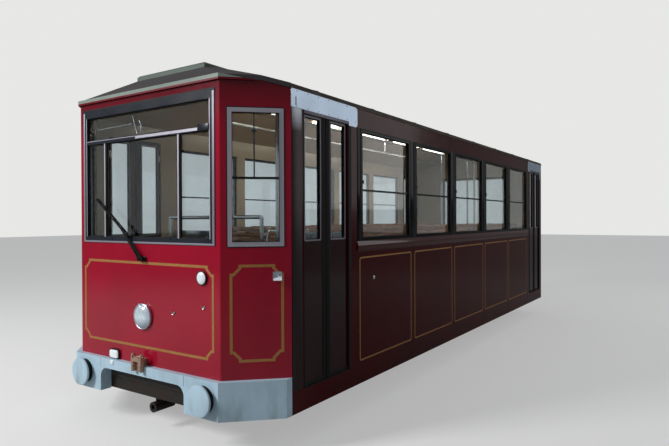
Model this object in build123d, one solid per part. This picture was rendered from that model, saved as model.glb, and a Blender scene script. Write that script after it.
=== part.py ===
from build123d import *
from math import hypot
import os

# Funicular car, sizes in mm. X points forward out of the cab, Y to the car's left, Z up.
# The origin is on the floor under the middle of the car, at the tips of the wheel flanges.

# Body
body_length = 8480
body_width = 2700
nose_inset = 410
nose_length = 390
skirt_z = 290
wall = 60
cab_corner_radius = 20
portal_length = 1014
window_count = 5

# Heights above the skirt's lower edge
threshold_height = 182
saloon_floor_height = 600
side_roof_height = 2648
fascia_rise = 50
roof_rise = 282
bumper_height = 310

# Roof
roof_band = 40
roof_overhang = 8
roof_hip_length = 295
roof_slope_run = 804
roof_deck_inset = 84
roof_deck_rise = 50
fascia_depth = 46
fascia_thick = 12
fascia_taper = 283
cantrail_radius = 26
gutter_proud = 12
gutter_depth = 14

# Side windows and their frames
window_pillar = 155
window_sill = 1382
window_head_drop = 193
window_frame = 25
window_divider_drop = 585
divider_depth = 18
divider_setback = 10
glass_thick = 8
frame_depth = 34
frame_proud = 4
waist_gap = 6
waist_depth = 104
waist_proud = 14

# Windscreen and angled cab windows
windscreen_margin = 55
windscreen_low = 1383
windscreen_head_drop = 64
windscreen_side_frame = 48
windscreen_top_frame = 75
transom_drop = 310
transom_depth = 34
mullion_width = 20
mullion_left_inset = 385
mullion_right_inset = 273
cab_window_margin = 59.5
cab_window_low = 1373
cab_window_head_drop = 171
cab_window_frame = 33
cab_divider_drop = 557

# Rear window
rear_window_margin = 610
rear_window_frame = 40

# Doors
door_opening_start = 158
door_opening_width = 697
header_height = 150
door_thick = 35
door_setback = 15
door_clearance = 6
door_post_radius = 14
door_gap = 11
door_window_free_stile = 78
door_window_width = 225
door_window_low = 1412
door_window_head_drop = 48
header_proud = 8
header_tail = 38

# Front end
bumper_proud = 50
bumper_box_width = 374
bumper_bar_depth = 90
bumper_gusset = 85
buffer_inset = 137
buffer_height = 155
buffer_radius = 128
buffer_reach = 118
buffer_disc = 22
buffer_stem_radius = 96
headlamp_height = 738
headlamp_radius = 115
headlamp_rim = 26
upper_lamp_inset = 200
upper_lamp_height = 1116
upper_lamp_radius = 58
lamp_rim = 16
low_lamp_offset = -405
low_lamp_height = 357
low_lamp_width = 135
low_lamp_depth = 90
low_lamp_proud = 38
lamp_chamfer = 12
side_lamp_margin = 114
side_lamp_height = 1133
side_lamp_size = 75
side_lamp_proud = 26
tail_lamp_inset = 300
tail_lamp_height = 900
tail_lamp_radius = 62
tow_height = 334
tow_half = 64
tow_leg = 26
tow_leg_length = 68
tow_thick = 40
tow_back = 8
tow_hole_radius = 10
tow_ear_place = 58
tow_ear_thick = 16
tow_ear_rise = 84
wiper_pivot_y = 18
wiper_pivot_height = 1244
wiper_sweep = 650
wiper_tip_height = 1783
wiper_arm_gap = 44
wiper_arm = 14
wiper_joint_sweep = 305
wiper_joint_height = 1528
wiper_blade_heel = 0.35

# Running gear
gauge = 1520
tread_radius = 280
flange_height = 25
flange_thick = 22
flanged_tread_width = 76
drum_width = 190
axle_radius = 55
journal_clearance = 0.5
axle_spacing = 1100
bogie_inset = 958
side_beam_gap = 190
side_beam_width = 96
axle_box = 190
axle_cap_half = 62
axle_cap_proud = 14
beam_top_z = 520
beam_depth = 120
bolster_width = 340
bolster_low = 430
bolster_mid_z = 540
bolster_high = 596
centre_plate_half = 160
pivot_radius = 80
pivot_gap = 1.5
spring_half = 70
spring_inset = 60
spring_step = 12
spring_layers = 2
brake_length = 300
brake_bottom = 8
brake_body_z = 150
brake_body_depth = 90
brake_half = 84
jaw_gap = 34
jaw_thick = 26

# Underframe
sill_y = 470
sill_width = 80
sill_depth = 170
crank_start = 280
crank_run = 210
floor_thick = 60
riser_thick = 26
end_crossbar_place = 420
middle_crossbar_place = 700
equipment_length = 1300
equipment_half = 420
equipment_depth = 260

# Coupling bar and haul rope's socket
draw_eye_radius = 52
draw_hole_radius = 22
draw_bar_half = 36
draw_thick = 60
rope_drop = 105
rope_hole_radius = 22.5
rope_length = 220
rope_wall = 24
rope_lip = 60
rope_hanger_half = 34

# Inside
aisle_width = 560
step_run = 250
step_count = 3
bench_rows = 8
bench_seat_height = 430
bench_seat_depth = 420
bench_board = 36
bench_back_height = 900
bench_back_lean = 60
bench_wall_gap = 20
bench_first_gap = 190
bench_last_gap = 112
bench_leg = 40
pole_radius = 19
screen_thick = 24
screen_height = 860
console_depth = 250
console_height = 1010
driver_screen_place = 840
driver_screen_inset = 300
driver_screen_height = 980
rail_top_z = 1900
ceiling_rail_drop = 210
hanger_half = 12
hanger_count = 4
driver_seat_place = 525
driver_seat_height = 720
driver_seat_width = 450
driver_seat_depth = 410
driver_cushion = 90
driver_back_height = 520
driver_back_thick = 75
driver_foot = 380

# Places that follow from the sizes above
front_x = body_length / 2
rear_x = -front_x
half_width = body_width / 2
nose_half = half_width - nose_inset
windscreen_half = nose_half - windscreen_margin
rear_window_half = half_width - rear_window_margin
nose_back_x = front_x - nose_length
saloon_front_x = nose_back_x - portal_length
saloon_rear_x = rear_x + portal_length
window_pitch = (saloon_front_x - saloon_rear_x) / window_count
saloon_middle_x = (saloon_front_x + saloon_rear_x) / 2
threshold_z = skirt_z + threshold_height
saloon_floor_z = skirt_z + saloon_floor_height
side_roof_z = skirt_z + side_roof_height
fascia_low_z = side_roof_z + fascia_rise
fascia_top_z = fascia_low_z + roof_band
roof_top_z = side_roof_z + roof_rise
flat_half = half_width - roof_slope_run
deck_half = flat_half - roof_deck_inset
bumper_top_z = skirt_z + bumper_height
deck_front_x = front_x - roof_hip_length
axle_z = tread_radius + flange_height
inner_half = half_width - wall
door_low_z = threshold_z + door_clearance
door_top_z = side_roof_z - header_height
door_high_z = door_top_z - door_clearance
door_width = (door_opening_width - 2 * door_clearance - door_gap) / 2
hinge_y = half_width - door_setback - door_thick

# The angled cab face: its length, its direction backwards and its outward normal
angled_length = hypot(nose_length, nose_inset)
face_run = (-nose_length / angled_length, nose_inset / angled_length, 0)
face_normal = (nose_inset / angled_length, nose_length / angled_length, 0)
cab_face = Plane(origin=(front_x, nose_half, 0), x_dir=face_run, z_dir=face_normal)
face_distance = face_normal[0] * front_x + face_normal[1] * nose_half


def block(x0, x1, y0, y1, z0, z1):
    return Pos((x0 + x1) / 2, (y0 + y1) / 2, (z0 + z1) / 2) * Box(x1 - x0, y1 - y0, z1 - z0)


def pane_face(s0, s1, z0, z1, d0, d1):
    """Rectangle on the left angled face, from depth d0 to d1 along its normal."""
    place = cab_face * Pos((s0 + s1) / 2, (z0 + z1) / 2, d0)
    return extrude(place * Rectangle(s1 - s0, z1 - z0), amount=d1 - d0)


def profile_xz(points, y0, y1):
    """A side-view outline of (x, z) points, from y0 to y1."""
    outline = make_face(Polyline(*[(x, y0, z) for x, z in points], close=True))
    return extrude(outline, amount=y1 - y0, dir=(0, 1, 0))


def profile_yz(points, x0, x1):
    """An end-view outline of (y, z) points, from x0 to x1."""
    outline = make_face(Polyline(*[(x0, y, z) for y, z in points], close=True))
    return extrude(outline, amount=x1 - x0, dir=(1, 0, 0))


def profile_xy(points, z0, z1):
    """A plan outline of (x, y) points, from z0 to z1."""
    outline = make_face(Polyline(*[(x, y, z0) for x, y in points], close=True))
    return extrude(outline, amount=z1 - z0, dir=(0, 0, 1))


def tube_y(radius, x, z, y0, y1):
    plane = Plane(origin=(x, y0, z), x_dir=(1, 0, 0), z_dir=(0, 1, 0))
    return extrude(plane * Circle(radius), amount=y1 - y0)


def tube_x(radius, y, z, x0, x1):
    plane = Plane(origin=(x0, y, z), x_dir=(0, 1, 0), z_dir=(1, 0, 0))
    return extrude(plane * Circle(radius), amount=x1 - x0)


def tube_z(radius, x, y, z0, z1):
    return extrude(Pos(x, y, z0) * Circle(radius), amount=z1 - z0)


def turned_x(points, x, y, z):
    """A ring turned about a line along X; points are (radius, distance forward)."""
    outline = make_face(Polyline(*[(forward, radius, 0) for radius, forward in points], close=True))
    return Pos(x, y, z) * revolve(outline, axis=Axis.X)


def turned_y(points, x, z):
    """A ring turned about a line along Y; points are (radius, y)."""
    outline = make_face(Polyline(*[(radius, y, 0) for radius, y in points], close=True))
    return Pos(x, 0, z) * revolve(outline, axis=Axis.Y)


def other_side(shape):
    return mirror(shape, about=Plane.XZ)


def both_sides(shape):
    return [shape, other_side(shape)]


def fuse(shapes):
    first, *rest = shapes
    return first.fuse(*rest).clean() if rest else first


def save(name, *shapes):
    solids = [solid for shape in shapes for solid in shape.solids()]
    for solid in solids:
        solid.label = name
    export_step(solids[0] if len(solids) == 1 else Compound(children=solids), f"parts/{name}.step")


def nose_plan(front_offset, side_offset, back_x=0):
    """The body's plan moved out by the offsets, from back_x forward."""
    side_y = half_width + side_offset
    distance = face_distance + front_offset
    shoulder_x = (distance - face_normal[1] * side_y) / face_normal[0]
    corner_y = (distance - face_normal[0] * (front_x + front_offset)) / face_normal[1]
    left = [(back_x, side_y), (shoulder_x, side_y), (front_x + front_offset, corner_y)]
    return left + [(x, -y) for x, y in reversed(left)]


def under_roof(drop):
    """Everything below the hipped roof's surface, lowered by drop."""
    edge_z = side_roof_z + roof_band - drop
    top_z = roof_top_z - drop
    fascia_z = fascia_top_z - drop
    section = [(-half_width, 0), (-half_width, edge_z), (-flat_half, top_z)]
    section += [(-y, z) for y, z in reversed(section)]
    body = profile_yz(section, rear_x, front_x + roof_overhang)
    brow_x = front_x + roof_overhang
    front = [(rear_x, 0), (brow_x, 0), (brow_x, fascia_z), (deck_front_x, top_z), (rear_x, top_z)]
    body = body & profile_xz(front, -body_width, body_width)
    # The slope over an angled face runs from its own brow up to the flat top's corner.
    corner = face_normal[0] * deck_front_x + face_normal[1] * deck_half - face_distance
    reach = 3 * body_width
    cheek = [(-reach - body_length, 0), (roof_overhang, 0), (roof_overhang, fascia_z), (corner, top_z)]
    cheek += [(-reach - body_length, top_z)]
    outline = [cab_face.from_local_coords(Vector(-reach, z, depth)) for depth, z in cheek]
    wedge = extrude(make_face(Polyline(*outline, close=True)), amount=2 * reach, dir=face_run)
    return body & wedge & other_side(wedge)


roof_space = under_roof(roof_band)
cab_space = block(nose_back_x, front_x + body_width, -body_width, body_width, 0, body_length)

# Roof: a shell with an upright rim, split where the cab cap meets the saloon roof
roof_shell = under_roof(0) - roof_space
cab_roof = roof_shell & cab_space
saloon_roof = roof_shell - cab_space
cantrails = [
    edge for edge in saloon_roof.edges().filter_by(Axis.X)
    if abs(edge.center().Y) > half_width - 1 and edge.center().Z > side_roof_z + roof_band - 1
]
saloon_roof = fillet(cantrails, cantrail_radius)
save("cab_roof", cab_roof)
save("saloon_roof", saloon_roof)
gutter = block(
    rear_x, nose_back_x, half_width, half_width + gutter_proud, side_roof_z, side_roof_z + gutter_depth
)
save("roof_gutters", *both_sides(gutter))
deck_back_x = rear_x + roof_hip_length
roof_deck = block(deck_back_x, deck_front_x, -deck_half, deck_half, roof_top_z, roof_top_z + roof_deck_rise)
roof_deck = chamfer(roof_deck.edges().group_by(Axis.Z)[-1], roof_deck_rise / 3)
save("roof_deck", roof_deck)
strip_low_z = fascia_low_z - (fascia_depth - roof_band) / 2
fascia_outer = profile_xy(
    nose_plan(roof_overhang + fascia_thick, roof_overhang), strip_low_z, strip_low_z + fascia_depth
)
fascia_inner = profile_xy(nose_plan(roof_overhang, roof_overhang), 0, body_length)
fascia_end_y = half_width - fascia_rise * roof_slope_run / (roof_rise - roof_band)
fascia_reach = block(nose_back_x, front_x + body_width, -fascia_end_y, fascia_end_y, 0, body_length)
roof_fascia = (fascia_outer - fascia_inner) & fascia_reach
# Over each angled face the fascia's top edge falls from the front corner to nothing.
strip_high_z = strip_low_z + fascia_depth
taper_outline = [
    # distance back along the angled face, z
    (0, strip_high_z), (fascia_taper, strip_low_z), (body_width, strip_low_z), (body_width, body_length),
    (0, body_length),
]
taper_line = Polyline(*[(s, z, -wall) for s, z in taper_outline], close=True)
taper = extrude(cab_face * make_face(taper_line), amount=2 * wall, dir=face_normal)
save("roof_fascia", roof_fascia - taper - other_side(taper))

# Side walls with their windows
window_places = []
for index in range(window_count):
    start = saloon_rear_x + index * window_pitch + window_pillar / 2
    window_places.append((start, start + window_pitch - window_pillar))
window_low_z = skirt_z + window_sill
window_high_z = side_roof_z - window_head_drop
side_wall = block(saloon_rear_x, saloon_front_x, inner_half, half_width, skirt_z, roof_top_z) & roof_space
for x0, x1 in window_places:
    side_wall -= block(x0, x1, inner_half - 1, half_width + 1, window_low_z, window_high_z)
save("side_wall_left", side_wall)
save("side_wall_right", other_side(side_wall))
frame_out_y = half_width + frame_proud
frame_in_y = frame_out_y - frame_depth
divider_z = window_high_z - window_divider_drop
frames = []
panes = []
for x0, x1 in window_places:
    ring = block(x0, x1, frame_in_y, frame_out_y, window_low_z, window_high_z)
    ring -= block(
        x0 + window_frame, x1 - window_frame, frame_in_y - 1, frame_out_y + 1,
        window_low_z + window_frame, window_high_z - window_frame,
    )
    divider = block(
        x0, x1, frame_in_y, frame_out_y - divider_setback, divider_z - divider_depth / 2,
        divider_z + divider_depth / 2,
    )
    frames += both_sides(fuse([ring, divider]))
    pane = block(x0, x1, frame_in_y - glass_thick, frame_in_y, window_low_z, window_high_z)
    panes += both_sides(pane)
save("side_window_frames", *frames)
save("side_glass", *panes)
waist_high_z = window_low_z - waist_gap
waist_low_z = waist_high_z - waist_depth
waist_bulge = ThreePointArc(
    (0, half_width, waist_low_z),
    (0, half_width + waist_proud, (waist_low_z + waist_high_z) / 2),
    (0, half_width, waist_high_z),
)
waist_face = make_face(waist_bulge + Line((0, half_width, waist_high_z), (0, half_width, waist_low_z)))
waist = Pos(saloon_rear_x, 0, 0) * extrude(waist_face, amount=saloon_front_x - saloon_rear_x, dir=(1, 0, 0))
save("waist_mouldings", *both_sides(waist))

# Doorways: place of each opening's forward and rear edges, and the wall's forward and rear ends
front_opening_x = nose_back_x - door_opening_start
rear_opening_x = rear_x + door_opening_start
doorways = [
    # name, opening rear x, opening front x, wall rear x, wall front x
    ("front", front_opening_x - door_opening_width, front_opening_x, saloon_front_x, nose_back_x),
    ("rear", rear_opening_x, rear_opening_x + door_opening_width, rear_x + wall, saloon_rear_x),
]
frames = []
headers = []
for name, low_x, high_x, wall_low_x, wall_high_x in doorways:
    frame = block(wall_low_x, wall_high_x, inner_half, half_width, skirt_z, roof_top_z) & roof_space
    frame -= block(low_x, high_x, inner_half - 1, half_width + 1, threshold_z, door_top_z)
    frames += both_sides(frame)
    tail_z = door_top_z - header_tail
    header_z = door_top_z
    tail_x = wall_low_x if name == "front" else wall_high_x
    tail_end_x = (low_x - door_clearance) if name == "front" else (high_x + door_clearance)
    header = block(wall_low_x, wall_high_x, half_width, half_width + header_proud, header_z, side_roof_z)
    tail = sorted((tail_x, tail_end_x))
    header = fuse([header, block(*tail, half_width, half_width + header_proud, tail_z, header_z)])
    corner = header.edges().filter_by(Axis.Y).filter_by_position(Axis.X, tail_x - 1, tail_x + 1)
    header = fillet(corner, header_tail - 2)
    headers += both_sides(header)
save("doorway_frames", *frames)
save("door_headers", *headers)

# Door leaves, each hung at its own jamb
window_low = skirt_z + door_window_low
window_high = door_top_z - door_window_head_drop
for name, low_x, high_x, wall_low_x, wall_high_x in doorways:
    leaves = [
        # name, heel, direction to the free edge
        ("fore", high_x - door_clearance, -1),
        ("aft", low_x + door_clearance, 1),
    ]
    for leaf_name, heel_x, toward in leaves:
        free_x = heel_x + toward * door_width
        hinge_x = heel_x + toward * door_post_radius
        glass_free_x = free_x - toward * door_window_free_stile
        glass_hinge_x = glass_free_x - toward * door_window_width
        x0, x1 = sorted((heel_x, free_x))
        g0, g1 = sorted((glass_free_x, glass_hinge_x))
        leaf = fuse([
            block(x0, x1, hinge_y, hinge_y + door_thick, door_low_z, door_high_z),
            tube_z(door_post_radius, hinge_x, hinge_y, door_low_z, door_high_z),
        ])
        leaf -= block(g0, g1, hinge_y - 1, hinge_y + door_thick + 1, window_low, window_high)
        glass_y = hinge_y + (door_thick - glass_thick) / 2
        glass = block(g0, g1, glass_y, glass_y + glass_thick, window_low, window_high)
        save(f"door_{name}_left_{leaf_name}", leaf)
        save(f"door_{name}_right_{leaf_name}", other_side(leaf))
        save(f"door_glass_{name}_left_{leaf_name}", glass)
        save(f"door_glass_{name}_right_{leaf_name}", other_side(glass))

# Cab shell: front and two angled faces bent from one wall
windscreen_low_z = skirt_z + windscreen_low
windscreen_high_z = fascia_low_z - windscreen_head_drop
cab_low_z = skirt_z + cab_window_low
cab_high_z = side_roof_z - cab_window_head_drop
cab_window_start = cab_window_margin
cab_window_end = angled_length - cab_window_margin
cab_shell = profile_xy(nose_plan(0, 0), bumper_top_z, roof_top_z) & cab_space
cab_shell -= profile_xy(nose_plan(-wall, -wall), 0, body_length)
cab_shell = cab_shell & roof_space
cab_corners = [
    edge for edge in cab_shell.edges().filter_by(Axis.Z)
    if edge.center().X > front_x - 1 and abs(edge.center().Y) > nose_half - 1
]
cab_shell = fillet(cab_corners, cab_corner_radius)
cab_shell -= block(
    front_x - 2 * wall, front_x + 1, -windscreen_half, windscreen_half, windscreen_low_z, windscreen_high_z
)
cab_opening = pane_face(cab_window_start, cab_window_end, cab_low_z, cab_high_z, -2 * wall, 1)
cab_shell = cab_shell - cab_opening - other_side(cab_opening)
save("cab_shell", cab_shell)

screen_out_x = front_x + frame_proud
screen_in_x = screen_out_x - frame_depth
windscreen_frame = block(
    screen_in_x, screen_out_x, -windscreen_half, windscreen_half, windscreen_low_z, windscreen_high_z
)
glass_half = windscreen_half - windscreen_side_frame
windscreen_frame -= block(
    screen_in_x - 1, screen_out_x + 1, -glass_half, glass_half, windscreen_low_z + windscreen_side_frame,
    windscreen_high_z - windscreen_top_frame,
)
transom_z = windscreen_high_z - transom_drop
transom = block(
    screen_in_x, screen_out_x - 2, -glass_half, glass_half,
    transom_z - transom_depth / 2, transom_z + transom_depth / 2,
)
mullions = [
    # y of the middle
    mullion_right_inset - glass_half,
    glass_half - mullion_left_inset,
]
bars = [
    block(
        screen_in_x, screen_out_x - divider_setback, y - mullion_width / 2, y + mullion_width / 2,
        windscreen_low_z, transom_z,
    )
    for y in mullions
]
save("windscreen_frame", fuse([windscreen_frame, transom] + bars))
glass_lap = windscreen_side_frame / 2
windscreen_glass = block(
    screen_in_x - glass_thick, screen_in_x, -glass_half - glass_lap, glass_half + glass_lap,
    windscreen_low_z + glass_lap, windscreen_high_z - glass_lap,
)
save("windscreen_glass", windscreen_glass)
cab_ring = pane_face(
    cab_window_start, cab_window_end, cab_low_z, cab_high_z, frame_proud - frame_depth, frame_proud
)
face_middle = (cab_window_start + cab_window_end) / 2
face_middle_z = (cab_low_z + cab_high_z) / 2
cab_glass_length = cab_window_end - cab_window_start - 2 * cab_window_frame
cab_glass_height = cab_high_z - cab_low_z - 2 * cab_window_frame
cab_middle = cab_face * Pos(face_middle, face_middle_z, 0)
cab_ring -= cab_middle * Box(cab_glass_length, cab_glass_height, 2 * frame_depth)
cab_divider = cab_face * Pos(face_middle, cab_high_z - cab_divider_drop, -frame_depth / 2) * Box(
    cab_glass_length + 2, divider_depth, frame_depth / 2
)
save("cab_side_frames", *both_sides(fuse([cab_ring, cab_divider])))
glass_depth = frame_proud - frame_depth - glass_thick / 2
cab_glass = cab_middle * Pos(0, 0, glass_depth) * Box(
    cab_glass_length + cab_window_frame, cab_glass_height + cab_window_frame, glass_thick
)
save("cab_side_glass", *both_sides(cab_glass))

# Rear wall and its window
rear_wall = block(rear_x, rear_x + wall, -half_width, half_width, skirt_z, roof_top_z) & roof_space
rear_wall -= block(
    rear_x - 1, rear_x + wall + 1, -rear_window_half, rear_window_half, window_low_z, window_high_z
)
save("rear_wall", rear_wall)
rear_ring_x = rear_x - frame_proud
rear_ring = block(
    rear_ring_x, rear_ring_x + frame_depth, -rear_window_half, rear_window_half, window_low_z, window_high_z
)
rear_ring -= block(
    rear_ring_x - 1, rear_ring_x + wall,
    rear_window_frame - rear_window_half, rear_window_half - rear_window_frame,
    window_low_z + rear_window_frame, window_high_z - rear_window_frame,
)
save("rear_window_frame", rear_ring)
rear_glass_x = rear_ring_x + frame_depth
rear_glass = block(
    rear_glass_x, rear_glass_x + glass_thick, -rear_window_half, rear_window_half,
    window_low_z, window_high_z,
)
save("rear_glass", rear_glass)

# Bumper: two boxes that wrap the nose, joined by a bar along the top
bumper = profile_xy(nose_plan(bumper_proud, 0), skirt_z, bumper_top_z) & cab_space
bumper -= profile_xy(nose_plan(-wall, -wall), 0, body_length)
gap_top_z = bumper_top_z - bumper_bar_depth
bumper_inner = nose_half - bumper_box_width
bumper -= block(front_x - 2 * wall, front_x + 2 * bumper_proud, -bumper_inner, bumper_inner, 0, gap_top_z)
gusset_y = bumper_inner - bumper_gusset
gusset_z = gap_top_z - bumper_gusset
gusset = block(front_x, front_x + bumper_proud, gusset_y, bumper_inner + 1, gusset_z, gap_top_z + 1)
gusset -= tube_x(bumper_gusset, gusset_y, gusset_z, front_x - 1, front_x + 2 * bumper_proud)
bumper = fuse([bumper] + both_sides(gusset))
save("bumper", bumper)

# Buffers, lamps, towing lug and wiper on the front
buffer_z = skirt_z + buffer_height
stem_reach = buffer_reach - buffer_disc
buffer_profile = [
    # radius, distance forward of the front face
    (0, bumper_proud), (buffer_stem_radius, bumper_proud), (buffer_stem_radius, stem_reach),
    (buffer_radius, stem_reach), (buffer_radius, buffer_reach), (0, buffer_reach),
]
save("buffers", *both_sides(turned_x(buffer_profile, front_x, nose_half - buffer_inset, buffer_z)))
headlamp_profile = [
    # radius, distance forward of the front face
    (0, 0), (headlamp_radius, 0), (headlamp_radius, headlamp_rim),
    (headlamp_radius - headlamp_rim, headlamp_rim),
    (headlamp_radius - headlamp_rim, 2 * headlamp_rim), (0, 2 * headlamp_rim),
]
save("headlamp", turned_x(headlamp_profile, front_x, 0, skirt_z + headlamp_height))
upper_lamp_profile = [
    # radius, distance forward of the front face
    (0, 0), (upper_lamp_radius, 0), (upper_lamp_radius, lamp_rim), (upper_lamp_radius - lamp_rim, lamp_rim),
    (upper_lamp_radius - lamp_rim, 2 * lamp_rim), (0, 2 * lamp_rim),
]
upper_lamp = turned_x(upper_lamp_profile, front_x, nose_half - upper_lamp_inset, skirt_z + upper_lamp_height)
low_lamp_z = skirt_z + low_lamp_height
low_lamp = block(
    front_x, front_x + low_lamp_proud,
    low_lamp_offset - low_lamp_width / 2, low_lamp_offset + low_lamp_width / 2,
    low_lamp_z - low_lamp_depth / 2, low_lamp_z + low_lamp_depth / 2,
)
low_lamp = chamfer(low_lamp.edges().filter_by(Axis.X), lamp_chamfer)
side_lamp_z = skirt_z + side_lamp_height
side_lamp_place = angled_length - side_lamp_margin
side_lamp = cab_face * Pos(side_lamp_place, side_lamp_z, side_lamp_proud / 2) * Box(
    side_lamp_size, side_lamp_size, side_lamp_proud
)
tail_lamp_profile = [
    # radius, distance back from the rear wall
    (0, 0), (tail_lamp_radius, 0), (tail_lamp_radius, -2 * lamp_rim), (0, -2 * lamp_rim),
]
tail_lamp = turned_x(tail_lamp_profile, rear_x, half_width - tail_lamp_inset, skirt_z + tail_lamp_height)
save("marker_lamps", upper_lamp, low_lamp, *both_sides(side_lamp), *both_sides(tail_lamp))
bar_x = front_x + bumper_proud
tow_z = skirt_z + tow_height
tow_x = bar_x + tow_thick
tow_slot = tow_half - tow_leg
tow_arch = [
    tube_x(tow_half, 0, tow_z, bar_x, tow_x),
    block(bar_x, tow_x, -tow_half, tow_half, tow_z - tow_leg_length, tow_z),
    block(front_x, bar_x, -tow_slot, tow_slot, bumper_top_z, tow_z + tow_slot),
]
tow_ears = []
for y in (-tow_ear_place, tow_ear_place):
    ear = block(bar_x, tow_x, y - tow_ear_thick / 2, y + tow_ear_thick / 2, tow_z, tow_z + tow_ear_rise)
    tow_ears.append(chamfer(ear.edges().filter_by(Axis.Y).group_by(Axis.Z)[-1], tow_thick / 4))
tow_lug = fuse(tow_arch) - block(
    bar_x + tow_back, tow_x + 1, -tow_slot, tow_slot, tow_z - tow_leg_length - 1, tow_z + tow_slot / 2
)
tow_hole_x = (bar_x + tow_x) / 2
tow_hole_z = tow_z + tow_ear_rise - tow_thick / 2
tow_hole = tube_y(tow_hole_radius, tow_hole_x, tow_hole_z, -body_width, body_width)
save("tow_lug", fuse([tow_lug] + tow_ears) - tow_hole)

wiper_pivot_z = skirt_z + wiper_pivot_height
wiper_tip_z = skirt_z + wiper_tip_height
wiper_tip_y = wiper_pivot_y - wiper_sweep
wiper_x = front_x + frame_proud + 26
joint_y = wiper_pivot_y - wiper_joint_sweep
joint_z = skirt_z + wiper_joint_height
wiper_parts = []
for shift in (0, wiper_arm_gap):
    arm_start = Vector(wiper_x, wiper_pivot_y - shift, wiper_pivot_z)
    arm_end = Vector(wiper_x, joint_y - shift / 4, joint_z + shift / 4)
    wiper_parts.append(block(
        front_x, wiper_x + wiper_arm, arm_start.Y - wiper_arm, arm_start.Y + wiper_arm,
        arm_start.Z - wiper_arm, arm_start.Z + wiper_arm,
    ))
    arm_line = Line(arm_start, arm_end)
    arm_plane = Plane(origin=arm_start, z_dir=arm_line % 0, x_dir=(1, 0, 0))
    wiper_parts.append(sweep(arm_plane * Rectangle(wiper_arm, wiper_arm), path=arm_line))
blade_start = Vector(
    wiper_x, joint_y + (joint_y - wiper_tip_y) * wiper_blade_heel,
    joint_z + (joint_z - wiper_tip_z) * wiper_blade_heel,
)
blade_line = Line(blade_start, Vector(wiper_x, wiper_tip_y, wiper_tip_z))
blade_plane = Plane(origin=blade_start, z_dir=blade_line % 0, x_dir=(1, 0, 0))
wiper_parts.append(sweep(blade_plane * Rectangle(2 * wiper_arm, wiper_arm), path=blade_line))
save("windscreen_wiper", fuse(wiper_parts))

# Floor: low floor in the cab and at the doors, a raised saloon floor and steps down its aisle
aisle_half = aisle_width / 2
low_floor_z = threshold_z - floor_thick
high_floor_z = saloon_floor_z - floor_thick
step_rise = (saloon_floor_z - threshold_z) / step_count
cab_floor = profile_xy(nose_plan(-wall, -wall, saloon_front_x - floor_thick), low_floor_z, threshold_z)
rear_floor = block(
    rear_x + wall, saloon_rear_x + floor_thick, -inner_half, inner_half, low_floor_z, threshold_z
)
steps = []
for index in range(step_count - 1):
    steps.append((saloon_front_x - index * step_run, threshold_z + (index + 1) * step_rise))
    steps.append((saloon_front_x - (index + 1) * step_run, threshold_z + (index + 1) * step_rise))
upper = [(saloon_front_x, threshold_z)] + steps + [(steps[-1][0], saloon_floor_z)]
upper += [(2 * saloon_middle_x - x, z) for x, z in reversed(upper)]
lower = [(x - (floor_thick if x > saloon_middle_x else -floor_thick), z - floor_thick) for x, z in upper]
aisle = profile_xz(upper + list(reversed(lower)), -aisle_half, aisle_half)
side_deck = block(saloon_rear_x, saloon_front_x, aisle_half, inner_half, high_floor_z, saloon_floor_z)
steps_end_x = saloon_front_x - (step_count - 1) * step_run - floor_thick
side_parts = [side_deck]
for sign in (1, -1):
    riser_x = saloon_middle_x + sign * (saloon_front_x - saloon_middle_x)
    riser = sorted((riser_x, riser_x - sign * riser_thick))
    side_parts.append(block(*riser, aisle_half, inner_half, low_floor_z, high_floor_z))
    cheek = sorted((riser_x, saloon_middle_x + sign * (steps_end_x - saloon_middle_x)))
    side_parts.append(block(*cheek, aisle_half, aisle_half + 30, low_floor_z, high_floor_z))
floor_parts = [cab_floor, rear_floor, aisle]
for shape in side_parts:
    floor_parts += both_sides(shape)
save("floor_and_steps", fuse(floor_parts))

# Underframe: two cranked sills, crossbars and a bolster over each bogie
bogie_places = [("front", saloon_front_x - bogie_inset), ("rear", saloon_rear_x + bogie_inset)]
sill_top_z = high_floor_z
sill_low_z = sill_top_z - sill_depth
end_top_z = low_floor_z
end_low_z = skirt_z + 10
crank_high_x = saloon_front_x - crank_start
crank_low_x = crank_high_x + crank_run
nose_sill_x = front_x - wall
sill_outline = [
    # x, z of the forward half, along the top and back along the underside
    (saloon_middle_x, sill_top_z), (saloon_front_x - floor_thick, sill_top_z),
    (saloon_front_x - floor_thick, end_top_z), (nose_sill_x, end_top_z), (nose_sill_x, end_low_z),
    (crank_low_x, end_low_z), (crank_high_x, sill_low_z), (saloon_middle_x, sill_low_z),
]
front_sill = profile_xz(sill_outline, sill_y - sill_width / 2, sill_y + sill_width / 2)
rear_shift = (rear_x + wall) - (2 * saloon_middle_x - nose_sill_x)
rear_outline = [
    (2 * saloon_middle_x - x + (rear_shift if x == nose_sill_x else 0), z) for x, z in sill_outline
]
rear_sill = profile_xz(rear_outline, sill_y - sill_width / 2, sill_y + sill_width / 2)
under_parts = both_sides(front_sill) + both_sides(rear_sill)
crossbars = [
    # x of the middle, width along the car, half length, top, underside
    (nose_sill_x - 60, 120, nose_half - wall, end_top_z, end_low_z),
    (saloon_front_x + end_crossbar_place, 100, inner_half, end_top_z, end_low_z),
    (saloon_middle_x + middle_crossbar_place, 90, inner_half, sill_top_z, sill_top_z - 110),
    (saloon_middle_x - middle_crossbar_place, 90, inner_half, sill_top_z, sill_top_z - 110),
    (saloon_rear_x - end_crossbar_place, 100, inner_half, end_top_z, end_low_z),
    (rear_x + wall + 60, 120, inner_half, end_top_z, end_low_z),
]
for x, width, reach, top_z, low_z in crossbars:
    under_parts.append(block(x - width / 2, x + width / 2, -reach, reach, low_z, top_z))
bolster_plate_z = bolster_high + pivot_gap
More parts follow.
